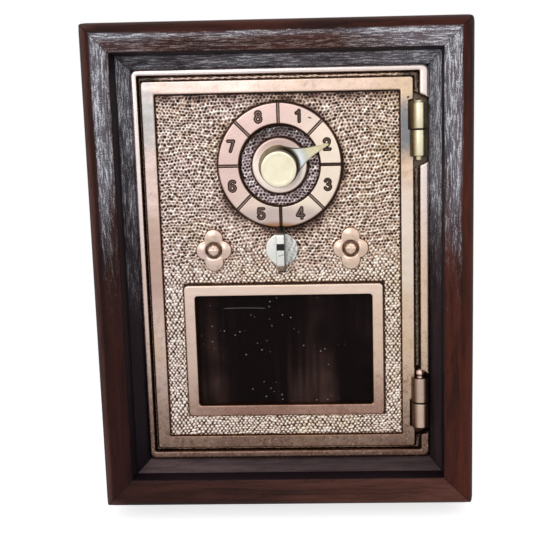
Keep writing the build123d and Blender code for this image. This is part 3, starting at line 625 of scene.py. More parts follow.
def boss_marks(paint, **others):
    """Boss: pale below, browner above."""
    _, rise = paint.from_dial()
    paint.shade = paint.mix(tone(255, 238, 228), tone(196, 168, 160), rise.step(-1.0, 8.0))


def bezel_marks(paint, drift, mottle, **others):
    """Window bezel: bright along the top, ruddy brown and mottled low down."""
    rise = paint.axis("Z") - WINDOW_Z
    paint.lay(tone(255, 230, 214), rise.step(12.0, 18.0) * 0.65)
    ruddy = (1 - (rise + (drift - 0.5) * 40.0).step(-22.0, 8.0)) * (0.35 + mottle * 0.6)
    paint.lay(tone(150, 106, 94), ruddy)


def field_marks(paint, drift, **others):
    """Pebbled field: mauve inside the ring, with painted shade of slate blue at its top, under the ring."""
    side, rise = paint.from_dial()
    near = (side ** 2.0 + rise ** 2.0) ** 0.5
    inner = paint.mix(tone(214, 198, 206), tone(104, 116, 122), (rise + drift * 6.0).step(6.0, 15.0))
    paint.lay_under(inner, near.step(RING_INNER, RING_INNER + 0.5))


def rim_marks(paint, **others):
    """Rim: whiter in its upper part."""
    paint.lay(tone(255, 242, 240), paint.axis("Z").step(-5.0, 30.0) * 0.75)


def cast_metal(paint, kind):
    """Old cast brass: pinkish white to peach where it is rubbed, gilt and brown in clouds, bronze low down
    that is partly tarnish and partly painted shade, painted shade of brown gold on edges that turn away from
    the front, a painted highlight on the pebbles' tops, and dirt in the hollows, which on the back pieces is
    painted shade."""
    gilt_share, brown_share, low, high, rough, marks = CASTINGS[kind]
    cool, peach, gold, bronze, crevice, edging = [
        setting("bank_brass", name) for name in ("cool", "peach", "gold", "bronze", "crevice", "edging")]
    cloud = paint.noise(60.0, 4.0, 0.6)
    drift = paint.noise(38.0, 3.0, 0.55, (1, 1, 0.6))
    spots = paint.noise(420.0, 3.0, 0.6)
    grain = paint.noise(1900.0, 2.0, 0.5)
    mottle = paint.noise(1200.0, 4.0, 0.75)
    across = (paint.axis("X") - paint.axis("Z") * 0.3 + drift * 40.0).step(-42.0, 52.0)
    paint.shade = paint.mix(cool, peach, across)
    paint.lay(gold, cloud.step(0.45, 0.68) * gilt_share)
    # bronze low on the door: brown tarnish, and painted shade darker towards the foot
    fade = 1 - (paint.axis("Z") + (drift - 0.5) * 60.0).step(low, high)
    paint.lay(bronze, (fade * 0.85 + drift.step(0.52, 0.70) * brown_share).step(0.05, 1.05))
    paint.lay(scaled(bronze, 0.8), spots.step(0.48, 0.78) * (fade * 0.35 + 0.30))
    paint.lay(scaled(bronze, 0.45), mottle.step(0.50, 0.66) * (fade * 0.60 + 0.10))
    paint.lay(tone(250, 226, 170), (1 - mottle.step(0.30, 0.40)) * fade * 0.6)
    if marks:
        marks(paint, cloud=cloud, drift=drift, mottle=mottle)
    height = grain * 0.5 + spots * 0.5
    # painted shade: the back pieces lie in recesses and are darkened all over and in their ambient occlusion
    if kind == "back":
        paint.lay(crevice, 0.75)
        inset = paint.node("AmbientOcclusion", {"samples": 6, "only_local": False},
                           {"Distance": 0.9 * MM}, out=1)
        relief = inset.step(0.15, 0.95)
        normal = paint.bump(height, 0.03, 0.7, paint.soften(0.3))
    else:
        relief = paint.baked("relief") + (spots - 0.5) * 0.15
        # painted shade: brown gold where the surface turns away from the front, over less of the rim
        turned_shade_range = (0.20, 0.62) if kind == "rim" else (0.72, 0.95)
        paint.lay_under(edging, paint.baked("facing").step(*turned_shade_range) * 0.8 + 0.2)
        normal = paint.bump(height, 0.03, 0.7)
    if kind == "field":
        # painted highlight: near white on the tops of the pebbles
        paint.lay(tone(255, 250, 242), relief.step(0.68, 0.94) * 0.90)
    # darker brown, then dark, where the relief is low: dirt in the pits and sunk figures, and painted shade
    # from the ambient occlusion on the back pieces
    paint.lay_under(scaled(bronze, 0.62), relief.step(0.25, 0.92 if kind == "field" else 0.8))
    dirt_and_shade = 1 - relief.step(0.06, 0.38)
    paint.lay(crevice, dirt_and_shade)
    roughness = dirt_and_shade * 0.4 + spots * 0.12 + (rough - 0.06)
    return paint.finish(Roughness=roughness, Metallic=1 - dirt_and_shade * 0.8, Normal=normal)


# gilt clouds, bronze clouds, lowest and highest height of the fade to bronze, which is partly painted shade,
# roughness, marks of its own
CASTINGS = {
    "rim": (0.10, 0.20, -60.0, 2.0, 0.28, rim_marks),
    "raised": (0.40, 0.25, -66.0, -6.0, 0.28, raised_marks),
    "ring": (0.25, 0.14, -90.0, -60.0, 0.28, ring_marks),
    "boss": (0.20, 0.10, -90.0, -60.0, 0.28, boss_marks),
    "rosette": (0.25, 1.00, -90.0, -20.0, 0.28, None),
    "field": (0.55, 0.12, -110.0, -40.0, 0.32, field_marks),
    "bezel": (0.15, 0.25, -66.0, -16.0, 0.30, bezel_marks),
    "bead": (0.35, 0.45, -80.0, -30.0, 0.40, bead_marks),
    "back": (0.30, 0.90, -64.0, 30.0, 0.45, None),
}


def plain_metal(paint, tint, rough=0.35, dull=None):
    """Turned or drawn metal with fine marks; a darker tone shows where the mesh's relief is low: painted
    shade on the hinges and the thumb turn, and a scratch on its fin.
    """
    marks = paint.noise(900.0, 3.0, 0.6, (1, 1, 4))
    cloud = paint.noise(120.0, 3.0)
    spots = paint.noise(520.0, 3.0, 0.6).step(0.52, 0.75)
    paint.shade = paint.mix(tint, scaled(tint, 0.70), (cloud.step(0.35, 0.7) * 0.55 + spots * 0.35))
    normal = paint.bump(marks, 0.02, 0.35, None if dull else paint.soften(0.25))
    if dull:
        paint.lay_under(dull, (paint.baked("relief") + (marks - 0.5) * 0.25).step(0.0, 1.0))
    return paint.finish(Roughness=marks * 0.2 + (rough - 0.1), Metallic=1.0, Normal=normal)


def pointer_metal(paint):
    """Pale brass: yellowish out to the tip, creamy on the knob, a painted bluish reflection on the flare
    beside the knob, and painted shade and highlight from the mesh's relief.
    """
    marks = paint.noise(900.0, 3.0, 0.6, (1, 1, 4))
    spots = paint.noise(520.0, 3.0, 0.6)
    side, rise = paint.from_dial()
    out = (side ** 2.0 + rise ** 2.0) ** 0.5
    foot = paint.axis("Y").step(KNOB_FRONT + 0.6, KNOB_FRONT + 1.6)
    # painted reflection: bluish on the flare beside the knob
    fillet_sheen = (1 - out.step(7.0, 10.5)) * side.step(1.5, 4.5)
    paint.shade = paint.mix(tone(238, 229, 190), tone(206, 212, 218), fillet_sheen)
    paint.lay_under(setting("bank_brass", "pale"), foot)
    cloud = paint.noise(240.0, 3.0).step(0.40, 0.65)
    paint.lay(tone(214, 200, 158), (spots.step(0.50, 0.74) * 0.7 + cloud * 0.5) * (foot * 0.4 + 0.4))
    # painted shade where the relief is low
    paint.lay_under(tone(62, 56, 36), (paint.baked("relief") + (marks - 0.5) * 0.2).step(0.0, 1.0))
    return paint.finish(Roughness=marks * 0.2 + 0.23, Metallic=1.0, Normal=paint.bump(marks, 0.02, 0.35))


def old_glass(paint):
    """Dark old glass: faint upright streaks, specks of dust and one thin scratch."""
    streak = paint.noise(1.0, 3.0, 0.6, (110, 10, 8)).step(0.48, 0.75)
    cloud = paint.noise(40.0, 3.0).step(0.35, 0.7)
    specks = paint.node("TexVoronoi", {"feature": "F1"}, {"Vector": paint.place(), "Scale": 560.0})
    dust = (1 - specks.step(0.05, 0.13)) * paint.noise(95.0, 2.0).step(0.50, 0.62)
    run = paint.axis("X")
    arc = abs(paint.axis("Z") - (WINDOW_Z + 13.2) - (run + 14.0) * (run + 14.0) * -0.004)
    scratch = (1 - arc.step(0.04, 0.12)) * (1 - abs(run + 13.0).step(5.5, 7.0)) * 0.35
    paint.shade = paint.mix(tone(26, 17, 18), tone(92, 68, 62), streak * cloud)
    paint.lay(tone(215, 205, 205), (dust + scratch).math("MINIMUM", 1.0))
    return paint.finish(Roughness=dust * 0.5 + 0.06, Alpha=dust * 0.1 + 0.9, Specular_IOR_Level=0.04)


def rubber(paint):
    """Black rubber with a fine grain."""
    grain = paint.noise(1500.0, 2.0)
    paint.shade = paint.mix(tone(20, 20, 21), tone(48, 46, 46), grain)
    return paint.finish(Roughness=grain * 0.2 + 0.55, Normal=paint.bump(grain, 0.04, 0.6))


MATERIALS = {}


def material(name, look, *details, **options):
    """A material, made once."""
    if name not in MATERIALS:
        MATERIALS[name] = look(Paint(bpy.data.materials.new(name)), *details, **options)
    return MATERIALS[name]


def casting(kind):
    """The old cast brass of one kind of piece."""
    return material(kind + "_metal", cast_metal, kind)


def dress(nodes, finish):
    """Give nodes of the frame their material."""
    for node in nodes:
        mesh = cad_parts[node].data
        mesh.materials.clear()
        mesh.materials.append(finish)


SIDES = ("top", "right", "bottom", "left")
BOARD_MITRE = INNER_Z - INNER_X
LINER_MITRE = FRAME_Z - FRAME_X


def grain_of(side):
    """Axis along which the wood of a side runs."""
    return "X" if side in ("top", "bottom") else "Z"


def board_wood(side):
    """Wood of one of the box's boards."""
    along = grain_of(side)
    return material("board_wood_" + along, wood, along, BOARD_MITRE)


def liner_wood(side):
    """Wood of one of the lining strips."""
    along = grain_of(side)
    return material("liner_wood_" + along, wood, along, LINER_MITRE, lining=True)


# ---- the casting, mm -----------------------------------------------------------------------
def grow(rectangle, by):
    """A rectangle (x0, x1, z0, z1) moved out by a length on every side."""
    x0, x1, z0, z1 = rectangle
    return x0 - by, x1 + by, z0 - by, z1 + by


RIM_LEFT, RIM_RIGHT, RIM_BOTTOM, RIM_TOP = 1.6, 2.6, 2.3, 1.6            # widths of the rim
RIM = (-FRAME_X + RIM_LEFT, FRAME_X - RIM_RIGHT, -FRAME_Z + RIM_BOTTOM, FRAME_Z - RIM_TOP)
RIM_ROOT = 3.1
DOOR_FRONT, DOOR_GAP = -0.3, 2.0
DOOR_RIGHT = RIM[1] - DOOR_GAP
DOOR = (DOOR_LEFT, DOOR_RIGHT, DOOR_BOTTOM, DOOR_TOP)
BORDER = 3.7
FIELD = grow(DOOR, -BORDER)
FIELD_FLOOR, FIELD_STEP, FIELD_BANDS = 0.5, 0.165, 5
FIELD_TUCK = 0.3         # how far the pebbled ground runs on under ring and boss
DARK_SPOTS = ((38.3, 50.9), (38.6, 49.7))                                # on the border, x and z
RING_OUTER, RING_INNER, RING_FRONT, RING_ROOT = 18.6, 12.4, -1.5, 0.6
RING_OUTER_EASE, RING_INNER_EASE = 0.55, 0.3
FIGURE_RADIUS = 15.6
RING_NICK = ((9.1, 13.95), (9.8, 13.75))                                 # its ends, from the dial's middle
BOSS_RADIUS, BOSS_FRONT = 8.35, -2.0
WINDOW_WIDE, WINDOW_TALL = 55.0, 35.0
WINDOW = (DIAL_X - WINDOW_WIDE / 2, DIAL_X + WINDOW_WIDE / 2,
          WINDOW_Z - WINDOW_TALL / 2, WINDOW_Z + WINDOW_TALL / 2)
BEZEL, BEZEL_FRONT = 3.2, -1.6
ROSETTE_X, ROSETTE_Z, ROSETTE_FRONT = 21.0, 6.1, -1.0
LOBE_RADIUS, LOBES = 2.9, ((0, 3.6), (0, -3.6), (2.6, 0), (-2.6, 0), (0, 0))
LOBE_HEIGHT, STUD_RADIUS, STUD_HEIGHT, MOAT_RADIUS, MOAT_DEPTH = 0.32, 2.0, 0.95, 2.35, 0.3
KNUCKLE_RADIUS, KNUCKLE_LENGTH, KNUCKLE_GAP, KNUCKLE_EASE = 2.7, 7.9, 0.3, 0.3
PIN_RADIUS, PIN_BALL = 1.1, 1.35
PIN_BUTTON = ((0, 1.2), (0.9, 1.13), (1.45, 0.8), (1.7, 0.3), (1.7, -0.1), (PIN_RADIUS, -0.1))
UPPER_HINGE, LOWER_HINGE = 41.3, -42.5
HINGE_CLEAR, HINGE_SLANT, HINGE_SLOPE = 1.4, 2.4, 0.5
POINTER_ANGLE = math.radians(22.3)
HUB_RADIUS, POINTER_REACH, POINTER_BACK = 6.1, 16.2, -2.34
POINTER_FRONT, POINTER_SLOPE = -2.95, 0.05   # depth of its face at the reach, rise per mm inwards
FLARE_HEIGHT, FLARE_LENGTH = 3.9, 1.45
TIP_RADIUS, TIP_MIDDLE = 0.45, POINTER_REACH - 0.5
NECK_RADIUS, NECK_FRONT = 4.35, -7.3
KNOB_RADIUS, KNOB_BACK = 5.25, -7.1
KNOB_LEAN = np.array([0.7, 0.0, -1.3])
TURN_RADIUS, TURN_FRONT, TURN_BACK = 4.85, -1.8, -0.32
FIN_HALF, FIN_FLAT, FIN_THICK, FIN_FRONT, FIN_EASE, FIN_SKIN = 7.0, 4.6, 2.3, -6.6, 0.18, 0.06
NOTCH_LOW, NOTCH_HIGH, NOTCH_DEPTH = -0.05, 2.05, 0.8
FOOT_RADIUS, FOOT_BORE, FOOT_SEAT, FOOT_SEAT_DEPTH = 5.5, 1.25, 2.7, 1.8


def hinge_spans():
    """Heights between which each hinge interrupts the rim."""
    reach = KNUCKLE_LENGTH + HINGE_CLEAR
    return [(middle - reach, middle + reach) for middle in (LOWER_HINGE, UPPER_HINGE)]


def crown(base, height, power, steps=15):
    """A round-topped profile: the depth is base less height times (1 - |2f - 1| to a power) to its root."""
    share = 0.5 - 0.5 * np.cos(np.linspace(0, np.pi, steps))
    lift = (1 - np.abs(2 * share - 1) ** power) ** (1 / power)
    return np.column_stack([share, base - height * lift])


def wear(points, share, *unevenness):
    """Move a surface in and out by a share of some waves, each an (amount, scale, seed)."""
    x, z = points[..., 0], points[..., 2]
    points[..., 1] += share * sum(amount * waves(x, z, scale, seed) for amount, scale, seed in unevenness)


def framing(outer, inner, radii, profile, straight, strips, arc=5):
    """A moulding carried round all four sides, as one (points, faces, relief).  The strips function takes
    a side's points and its number, changes them and gives back a list of grids."""
    grids = []
    for side in range(4):
        grids += strips(moulding(outer, inner, *radii, profile, side, straight, arc), side)
    return join_grids(grids)


# ---- pebbles -------------------------------------------------------------------------------
def nearest_mark(x, z, pitch, row_step, jitter, seed):
    """Distance to the nearest punch mark, in pitches, and that mark's strength from 0 to 1.

    The marks stand on a hexagonal lattice, jittered and bent into wavy rows; each is a short stroke
    with its own length and tilt."""
    rng = np.random.default_rng(seed)
    bent_x = x + 0.5 * waves(x, z, 17, seed + 1)
    bent_z = z + 0.75 * waves(x, z, 24, seed + 2) + 0.3 * waves(x, z, 9, seed + 3)
    u, v = bent_x / pitch, bent_z / row_step
    size = 256
    shake = rng.uniform(-jitter, jitter, (2, size, size))
    strength = rng.uniform(0, 1, (size, size))
    half = rng.uniform(-0.25, 0.22, (size, size)).clip(0)
    tilt = rng.normal(0, 0.5, (size, size))
    row = np.floor(v).astype(int)
    nearest, found = np.full(x.shape, 9.0), np.zeros(x.shape)
    for dj in (-1, 0, 1, 2):
        j = row + dj
        shift = 0.5 * (j % 2)
        column = np.floor(u - shift).astype(int)
        for di in (-1, 0, 1, 2):
            i = column + di
            at = (i % size, j % size)
            du = u - i - shift - shake[0][at]
            dv = (v - j - shake[1][at]) * row_step / pitch
            c, s = np.cos(tilt[at]), np.sin(tilt[at])
            along = du * c + dv * s
            away = np.hypot(along - np.clip(along, -half[at], half[at]), dv * c - du * s)
            found = np.where(away < nearest, strength[at], found)
            nearest = np.minimum(nearest, away)
    return nearest, found


def pebbles(x, z, pitch, seed=5):
    """Height of the punched ground, 0 to 1.

    High on the door it is 1 with pits: a pit is 0.5 to 1 deep and falls by a smooth step from 0.58
    pitches away to its middle.  Low on the door it is near 0 with grains, which rise by a smooth step
    from 0.58 to 0.16 pitches away.  The change wanders about the height of the thumb turn."""
    away, strength = nearest_mark(x, z, pitch, pitch * 0.90, 0.17, seed)
    pits = 1 - (0.5 + 0.5 * strength) * smoothstep(0.58, 0.0, away)
    ridge = 0.5 + 0.6 * waves(x, z, 1.6, seed + 4)
    pits = pits * (0.72 + 0.28 * np.clip(ridge, 0, 1))
    away, strength = nearest_mark(x, z, pitch * 1.15, pitch * 0.80, 0.12, seed + 7)
    grains = 0.16 + (0.78 + 0.22 * strength) * 0.84 * smoothstep(0.58, 0.16, away)
    share = smoothstep(18, -14, z + 6 * waves(x, z, 26, seed + 5)) + 0.25 * waves(x, z, 3.2, seed + 6)
    share = smoothstep(0.35, 0.65, share)
    return pits * (1 - share) + grains * share


def rectangle_distance(x, z, rectangle):
    """Distance inside a rectangle from its nearest side, negative outside."""
    x0, x1, z0, z1 = rectangle
    return np.minimum(np.minimum(x - x0, x1 - x), np.minimum(z - z0, z1 - z))


# ---- numerals ------------------------------------------------------------------------------
def stroke_line(x, z, start, end):
    """Distance from each point to a straight stroke."""
    start, end = np.array(start, float), np.array(end, float)
    run = end - start
    share = np.clip(((x - start[0]) * run[0] + (z - start[1]) * run[1]) / (run @ run), 0, 1)
    return np.hypot(x - start[0] - share * run[0], z - start[1] - share * run[1])


def stroke_arc(x, z, centre, radius, start, end, squash=1.0):
    """Distance from each point to an arc that runs anticlockwise from start to end, in degrees."""
    dx, dz = x - centre[0], (z - centre[1]) / squash
    angle = np.degrees(np.arctan2(dz, dx))
    past = (angle - start) % 360
    span = (end - start) % 360 or 360
    on_arc = np.abs(np.hypot(dx, dz) - radius)
    ends = [np.hypot(dx - radius * math.cos(math.radians(a)), dz - radius * math.sin(math.radians(a)))
            for a in (start, start + span)]
    return np.where(past <= span, on_arc, np.minimum(*ends))


def numeral(figure, x, z):
    """Distance from each point to the strokes of a figure one unit tall, middle at the origin."""
    strokes = {
        1: [("line", (0.10, -0.5), (0.10, 0.5)), ("line", (0.10, 0.45), (-0.16, 0.27))],
        2: [("arc", (0, 0.24), 0.24, -35, 175), ("line", (0.20, 0.10), (-0.24, -0.44)),
            ("line", (-0.24, -0.46), (0.29, -0.46))],
        3: [("arc", (0, 0.245), 0.225, -80, 160), ("arc", (0, -0.225), 0.255, 200, 90)],
        4: [("line", (0.13, -0.5), (0.13, 0.5)), ("line", (0.10, 0.46), (-0.28, -0.20)),
            ("line", (-0.28, -0.22), (0.31, -0.22))],
        5: [("line", (-0.20, 0.46), (0.25, 0.46)), ("line", (-0.20, 0.46), (-0.23, 0.04)),
            ("arc", (0, -0.19), 0.28, 200, 140)],
        6: [("arc", (0, -0.21), 0.26, 0, 360), ("arc", (0.02, 0.17), 0.28, 40, 180),
            ("line", (-0.26, 0.17), (-0.26, -0.21))],
        7: [("line", (-0.27, 0.45), (0.27, 0.45)), ("line", (0.26, 0.44), (-0.06, -0.5))],
        8: [("arc", (0, 0.245), 0.205, 0, 360), ("arc", (0, -0.225), 0.255, 0, 360)],
    }[figure]
    tools = {"line": stroke_line, "arc": stroke_arc}
    return np.minimum.reduce([tools[kind](x, z, *rest) for kind, *rest in strokes])


class Piece(bpy.types.Operator):
    """What the operators share."""
    bl_options = {"REGISTER", "UNDO"}


class BANK_OT_boards(Piece):
    """Rounded front edges of the four mitred boards."""
    bl_idname = "bank.boards"
    bl_label = "Boards"

    def execute(self, context):
        outer, inner = (-OUTER_X, OUTER_X, -OUTER_Z, OUTER_Z), (-INNER_X, INNER_X, -INNER_Z, INNER_Z)
        corner, section = setting("bank_wood", "long_arris"), self.section()
        for index, side in enumerate(SIDES):
            points = moulding(outer, inner, corner, 0.01, section, index)
            wear(points, smoothstep(WOOD_FRONT + 4, WOOD_FRONT, points[..., 1]), (0.05, 60, 11))
            points, faces, _ = sheet(points)
            make_mesh("front_edge_" + side, points, faces, "box", board_wood(side))
            dress([side + "_board"], board_wood(side))
            dress(["liner_" + side], liner_wood(side))
        dress(["back_panel"], material("panel_wood", wood, "Z", light=1.5))
        return {"FINISHED"}

    def section(self):
        """A board's front, as (share of its thickness, depth): a small ease at the opening, the flat, the
        arris as a quarter circle, and the outside some way back."""
        board, arris = OUTER_X - INNER_X, setting("bank_wood", "arris")
        skin, radius, front = SKIN / board, arris + SKIN, WOOD_FRONT - SKIN
        opening = [(-skin, -2.0), (-skin, front + 0.5), (0.015 - skin, front + 0.22), (0.035, front + 0.06)]
        flat = [(0.07, front), (0.3, front), (0.5, front)]
        edge = [(1 - (arris - radius * math.sin(turn)) / board, WOOD_FRONT + arris - radius * math.cos(turn))
                for turn in quarter(13)]
        return opening + flat + edge + [(1 + skin, WOOD_FRONT + 12.0)]


class BANK_OT_feet(Piece):
    """Round rubber feet and the box's screws."""
    bl_idname = "bank.feet"
    bl_label = "Feet and screws"

    def execute(self, context):
        low, high = local_box("bumper_feet")
        top, bottom = high[2], low[2]
        seat = top - FOOT_SEAT_DEPTH
        profile = rounded([(FOOT_BORE, seat), (FOOT_SEAT, seat), (FOOT_SEAT, bottom),
                           (FOOT_RADIUS - 0.8, bottom), (FOOT_RADIUS, top - 1.6), (FOOT_RADIUS, top)], 0.45)
        feet = [(*revolve(profile, (x, y), 64, upright=True), None)
                for x in (low[0] + FOOT_RADIUS, high[0] - FOOT_RADIUS)
                for y in (low[1] + FOOT_RADIUS, high[1] - FOOT_RADIUS)]
        points, faces, _ = join_grids(feet)
        black = material("foot_rubber", rubber)
        make_mesh("rubber_feet", points, faces[:, ::-1], "box", black,
                  replaces=["bumper_feet"])
        dress(["bumper_feet"], black)
        steel = material("screw_steel", plain_metal, tone(156, 152, 145))
        dress(["back_screws", "foot_screws", "frame_screws"], steel)
        return {"FINISHED"}


class BANK_OT_rim(Piece):
    """Soft raised rim of the brass frame, broken at the hinges, and the rough bead in the gap."""
    bl_idname = "bank.rim"
    bl_label = "Frame rim"

    def execute(self, context):
        dress(["door_frame"], material("frame_metal", cast_metal, "back"))
        profile = np.vstack([[0, RIM_ROOT], [0, 1.0], crown(-0.1, 1.0, 3.6), [1, 0.3]])
        outer = grow((-FRAME_X, FRAME_X, -FRAME_Z, FRAME_Z), SKIN)
        points, faces, relief = framing(outer, grow(RIM, -COVER), (2.0, 0.35), profile, 240, self.lengths)
        make_mesh("frame_rim", points, faces, "box", casting("rim"), relief)
        self.bead()
        return {"FINISHED"}

    def lengths(self, points, side):
        """The right side falls into three lengths with slanted ends; the others stay whole."""
        wear(points, 1, (0.03, 14, 3))
        if side != 1:
            return [sheet(points)]
        heights = points[:, 3, 2]
        (low0, low1), (high0, high1) = hinge_spans()
        found = []
        for top, bottom in ((math.inf, high1), (high0, low1), (low0, -math.inf)):
            part = points[(heights <= top - 0.4) & (heights >= bottom + 0.9)]
            if top < math.inf:
                part = self.close(part, top, -1)
            if bottom > -math.inf:
                part = self.close(part, bottom, 1)
            found.append(sheet(part))
        return found

    def close(self, part, height, sign):
        """Slide the last six rows at one end, the lower for a sign of 1 and the upper for -1, along the
        slant of the hinge's clearance, and turn the profile down there as an end wall."""
        strip = part[::sign]
        last = strip[:-7:-1]
        slant = height + sign * (HINGE_SLANT - HINGE_SLOPE * (last[..., 0] - DOOR_RIGHT))
        last[..., 2] += (slant - last[0, 0, 2]) * np.linspace(1, 0, 6, endpoint=False)[:, None]
        eased = strip[-1].copy()
        eased[:, 1] = np.minimum(eased[:, 1] + 0.25, RIM_ROOT)
        eased[:, 2] -= sign * 0.12
        wall = eased.copy()
        wall[:, 1] = RIM_ROOT
        return np.concatenate([strip, [eased], [wall]])[::sign]

    def bead(self):
        """A strip between rim and door."""
        profile = np.vstack([[0, RIM_ROOT], crown(1.6, 0.85, 2.4, 11), [1, RIM_ROOT]])
        outer, inner = grow(RIM, -0.28), grow(DOOR, 0.22)
        points, faces, _ = framing(outer, inner, (0.3, 0.3), profile, 420, self.lumps, 3)
        make_mesh("gap_bead", points, faces, "box", casting("bead"))

    def lumps(self, points, side):
        """Its height wanders with small lumps, and it is left out at the hinges."""
        wear(points, points[..., 1] < RIM_ROOT - 0.1, (0.16, 1.6, 21), (0.12, 0.8, 22))
        keep = np.ones((points.shape[0] - 1, points.shape[1] - 1), bool)
        if side == 1:
            middle = points[:-1, 3, 2]
            for low, high in hinge_spans():
                keep[(middle > low - HINGE_SLANT) & (middle < high + HINGE_SLANT)] = False
        return [sheet(points, keep)]


class BANK_OT_hinges(Piece):
    """Knuckles and pins of the two hinges."""
    bl_idname = "bank.hinges"
    bl_label = "Hinges"

    def execute(self, context):
        yellow = material("yellow_brass", plain_metal, tone(255, 246, 210), 0.30, dull=tone(114, 86, 50))
        bronze = material("bronze", plain_metal, tone(222, 192, 174), 0.36, dull=tone(118, 86, 70))
        half = KNUCKLE_GAP / 2
        for name, middle, finish in (("upper", UPPER_HINGE, yellow), ("lower", LOWER_HINGE, bronze)):
            above, below = (middle + half, middle + KNUCKLE_LENGTH), (middle - KNUCKLE_LENGTH, middle - half)
            fixed, swung = (above, below) if name == "upper" else (below, above)
            self.knuckle(name + "_frame_knuckle", *fixed, False, "box", finish, "frame_brass")
            self.knuckle(name + "_door_knuckle", *swung, True, "door", finish, "door_brass")
        top = UPPER_HINGE + KNUCKLE_LENGTH
        button = [(radius, top + rise) for radius, rise in PIN_BUTTON]
        self.pin("upper_pin", button, UPPER_HINGE - KNUCKLE_LENGTH - 1.2, yellow, "upper_hinge_pin")
        top = LOWER_HINGE + KNUCKLE_LENGTH + PIN_BALL
        ball = [(PIN_BALL * math.cos(turn), top + PIN_BALL * math.sin(turn))
                for turn in np.radians(np.linspace(90, -50, 15))]
        self.pin("lower_pin", ball + [(PIN_RADIUS, top - 1.2)], LOWER_HINGE - KNUCKLE_LENGTH - 0.6,
                 material("worn_pin", plain_metal, tone(236, 210, 198), 0.3), "lower_hinge_pin")
        return {"FINISHED"}

    def knuckle(self, name, low, high, on_door, body, finish, slot):
        """A round barrel with eased ends; its section is a circle drawn out to the side that carries it.

        Each ring of the section is drawn in by an ease that follows a quarter circle at both ends."""
        angle, radius = circle(72), KNUCKLE_RADIUS + SKIN
        dx, dy = radius * np.cos(angle), radius * np.sin(angle)
        if on_door:
            dx -= 0.22 * smoothstep(-0.45, 0.6, dy) * (dx < 0)
        else:
            dx[(dx > 0) & (dy > 0)] = radius
        turn = quarter(6)
        inset, back = KNUCKLE_EASE * (1 - np.sin(turn)), KNUCKLE_EASE * (1 - np.cos(turn))
        inset = np.concatenate([[radius], inset, inset[::-1], [radius]])
        height = np.concatenate([[low], low + back, high - back[::-1], [high]])
        wobble = 1 + 0.006 * waves(*np.meshgrid(height, 3 * angle, indexing="ij"), 5, 31)
        scale = (1 - inset / radius)[:, None] * wobble
        points = np.stack([HINGE_X + scale * dx, -HINGE_PROUD + scale * dy,
                           np.broadcast_to(height[:, None], scale.shape)], axis=-1)
        # painted highlight down the front of the barrel, painted shade round the rest and darker still on the
        # eased ends
        lit = np.exp(-(np.abs(np.cos(angle) - 0.03) / 0.52) ** 3) * (np.sin(angle) < 0.2)
        round_end = 0.55 + 0.45 * smoothstep(0.0, 0.35, 0.14 * radius - inset)
        relief = round_end[:, None] * (0.12 + 0.88 * lit)
        make_mesh(name, points, grid_faces(*scale.shape, wrap_columns=True), body, finish, relief)

    def pin(self, name, head, tail, finish, node):
        """A pin on the hinges' axis, from the profile of its head down to its tail."""
        profile = head + [(PIN_RADIUS, tail + 0.3), (PIN_RADIUS - 0.3, tail), (0, tail)]
        points, faces = revolve(profile, (HINGE_X, -HINGE_PROUD), 48, upright=True)
        make_mesh(name, points, faces, "box", finish, replaces=[node])


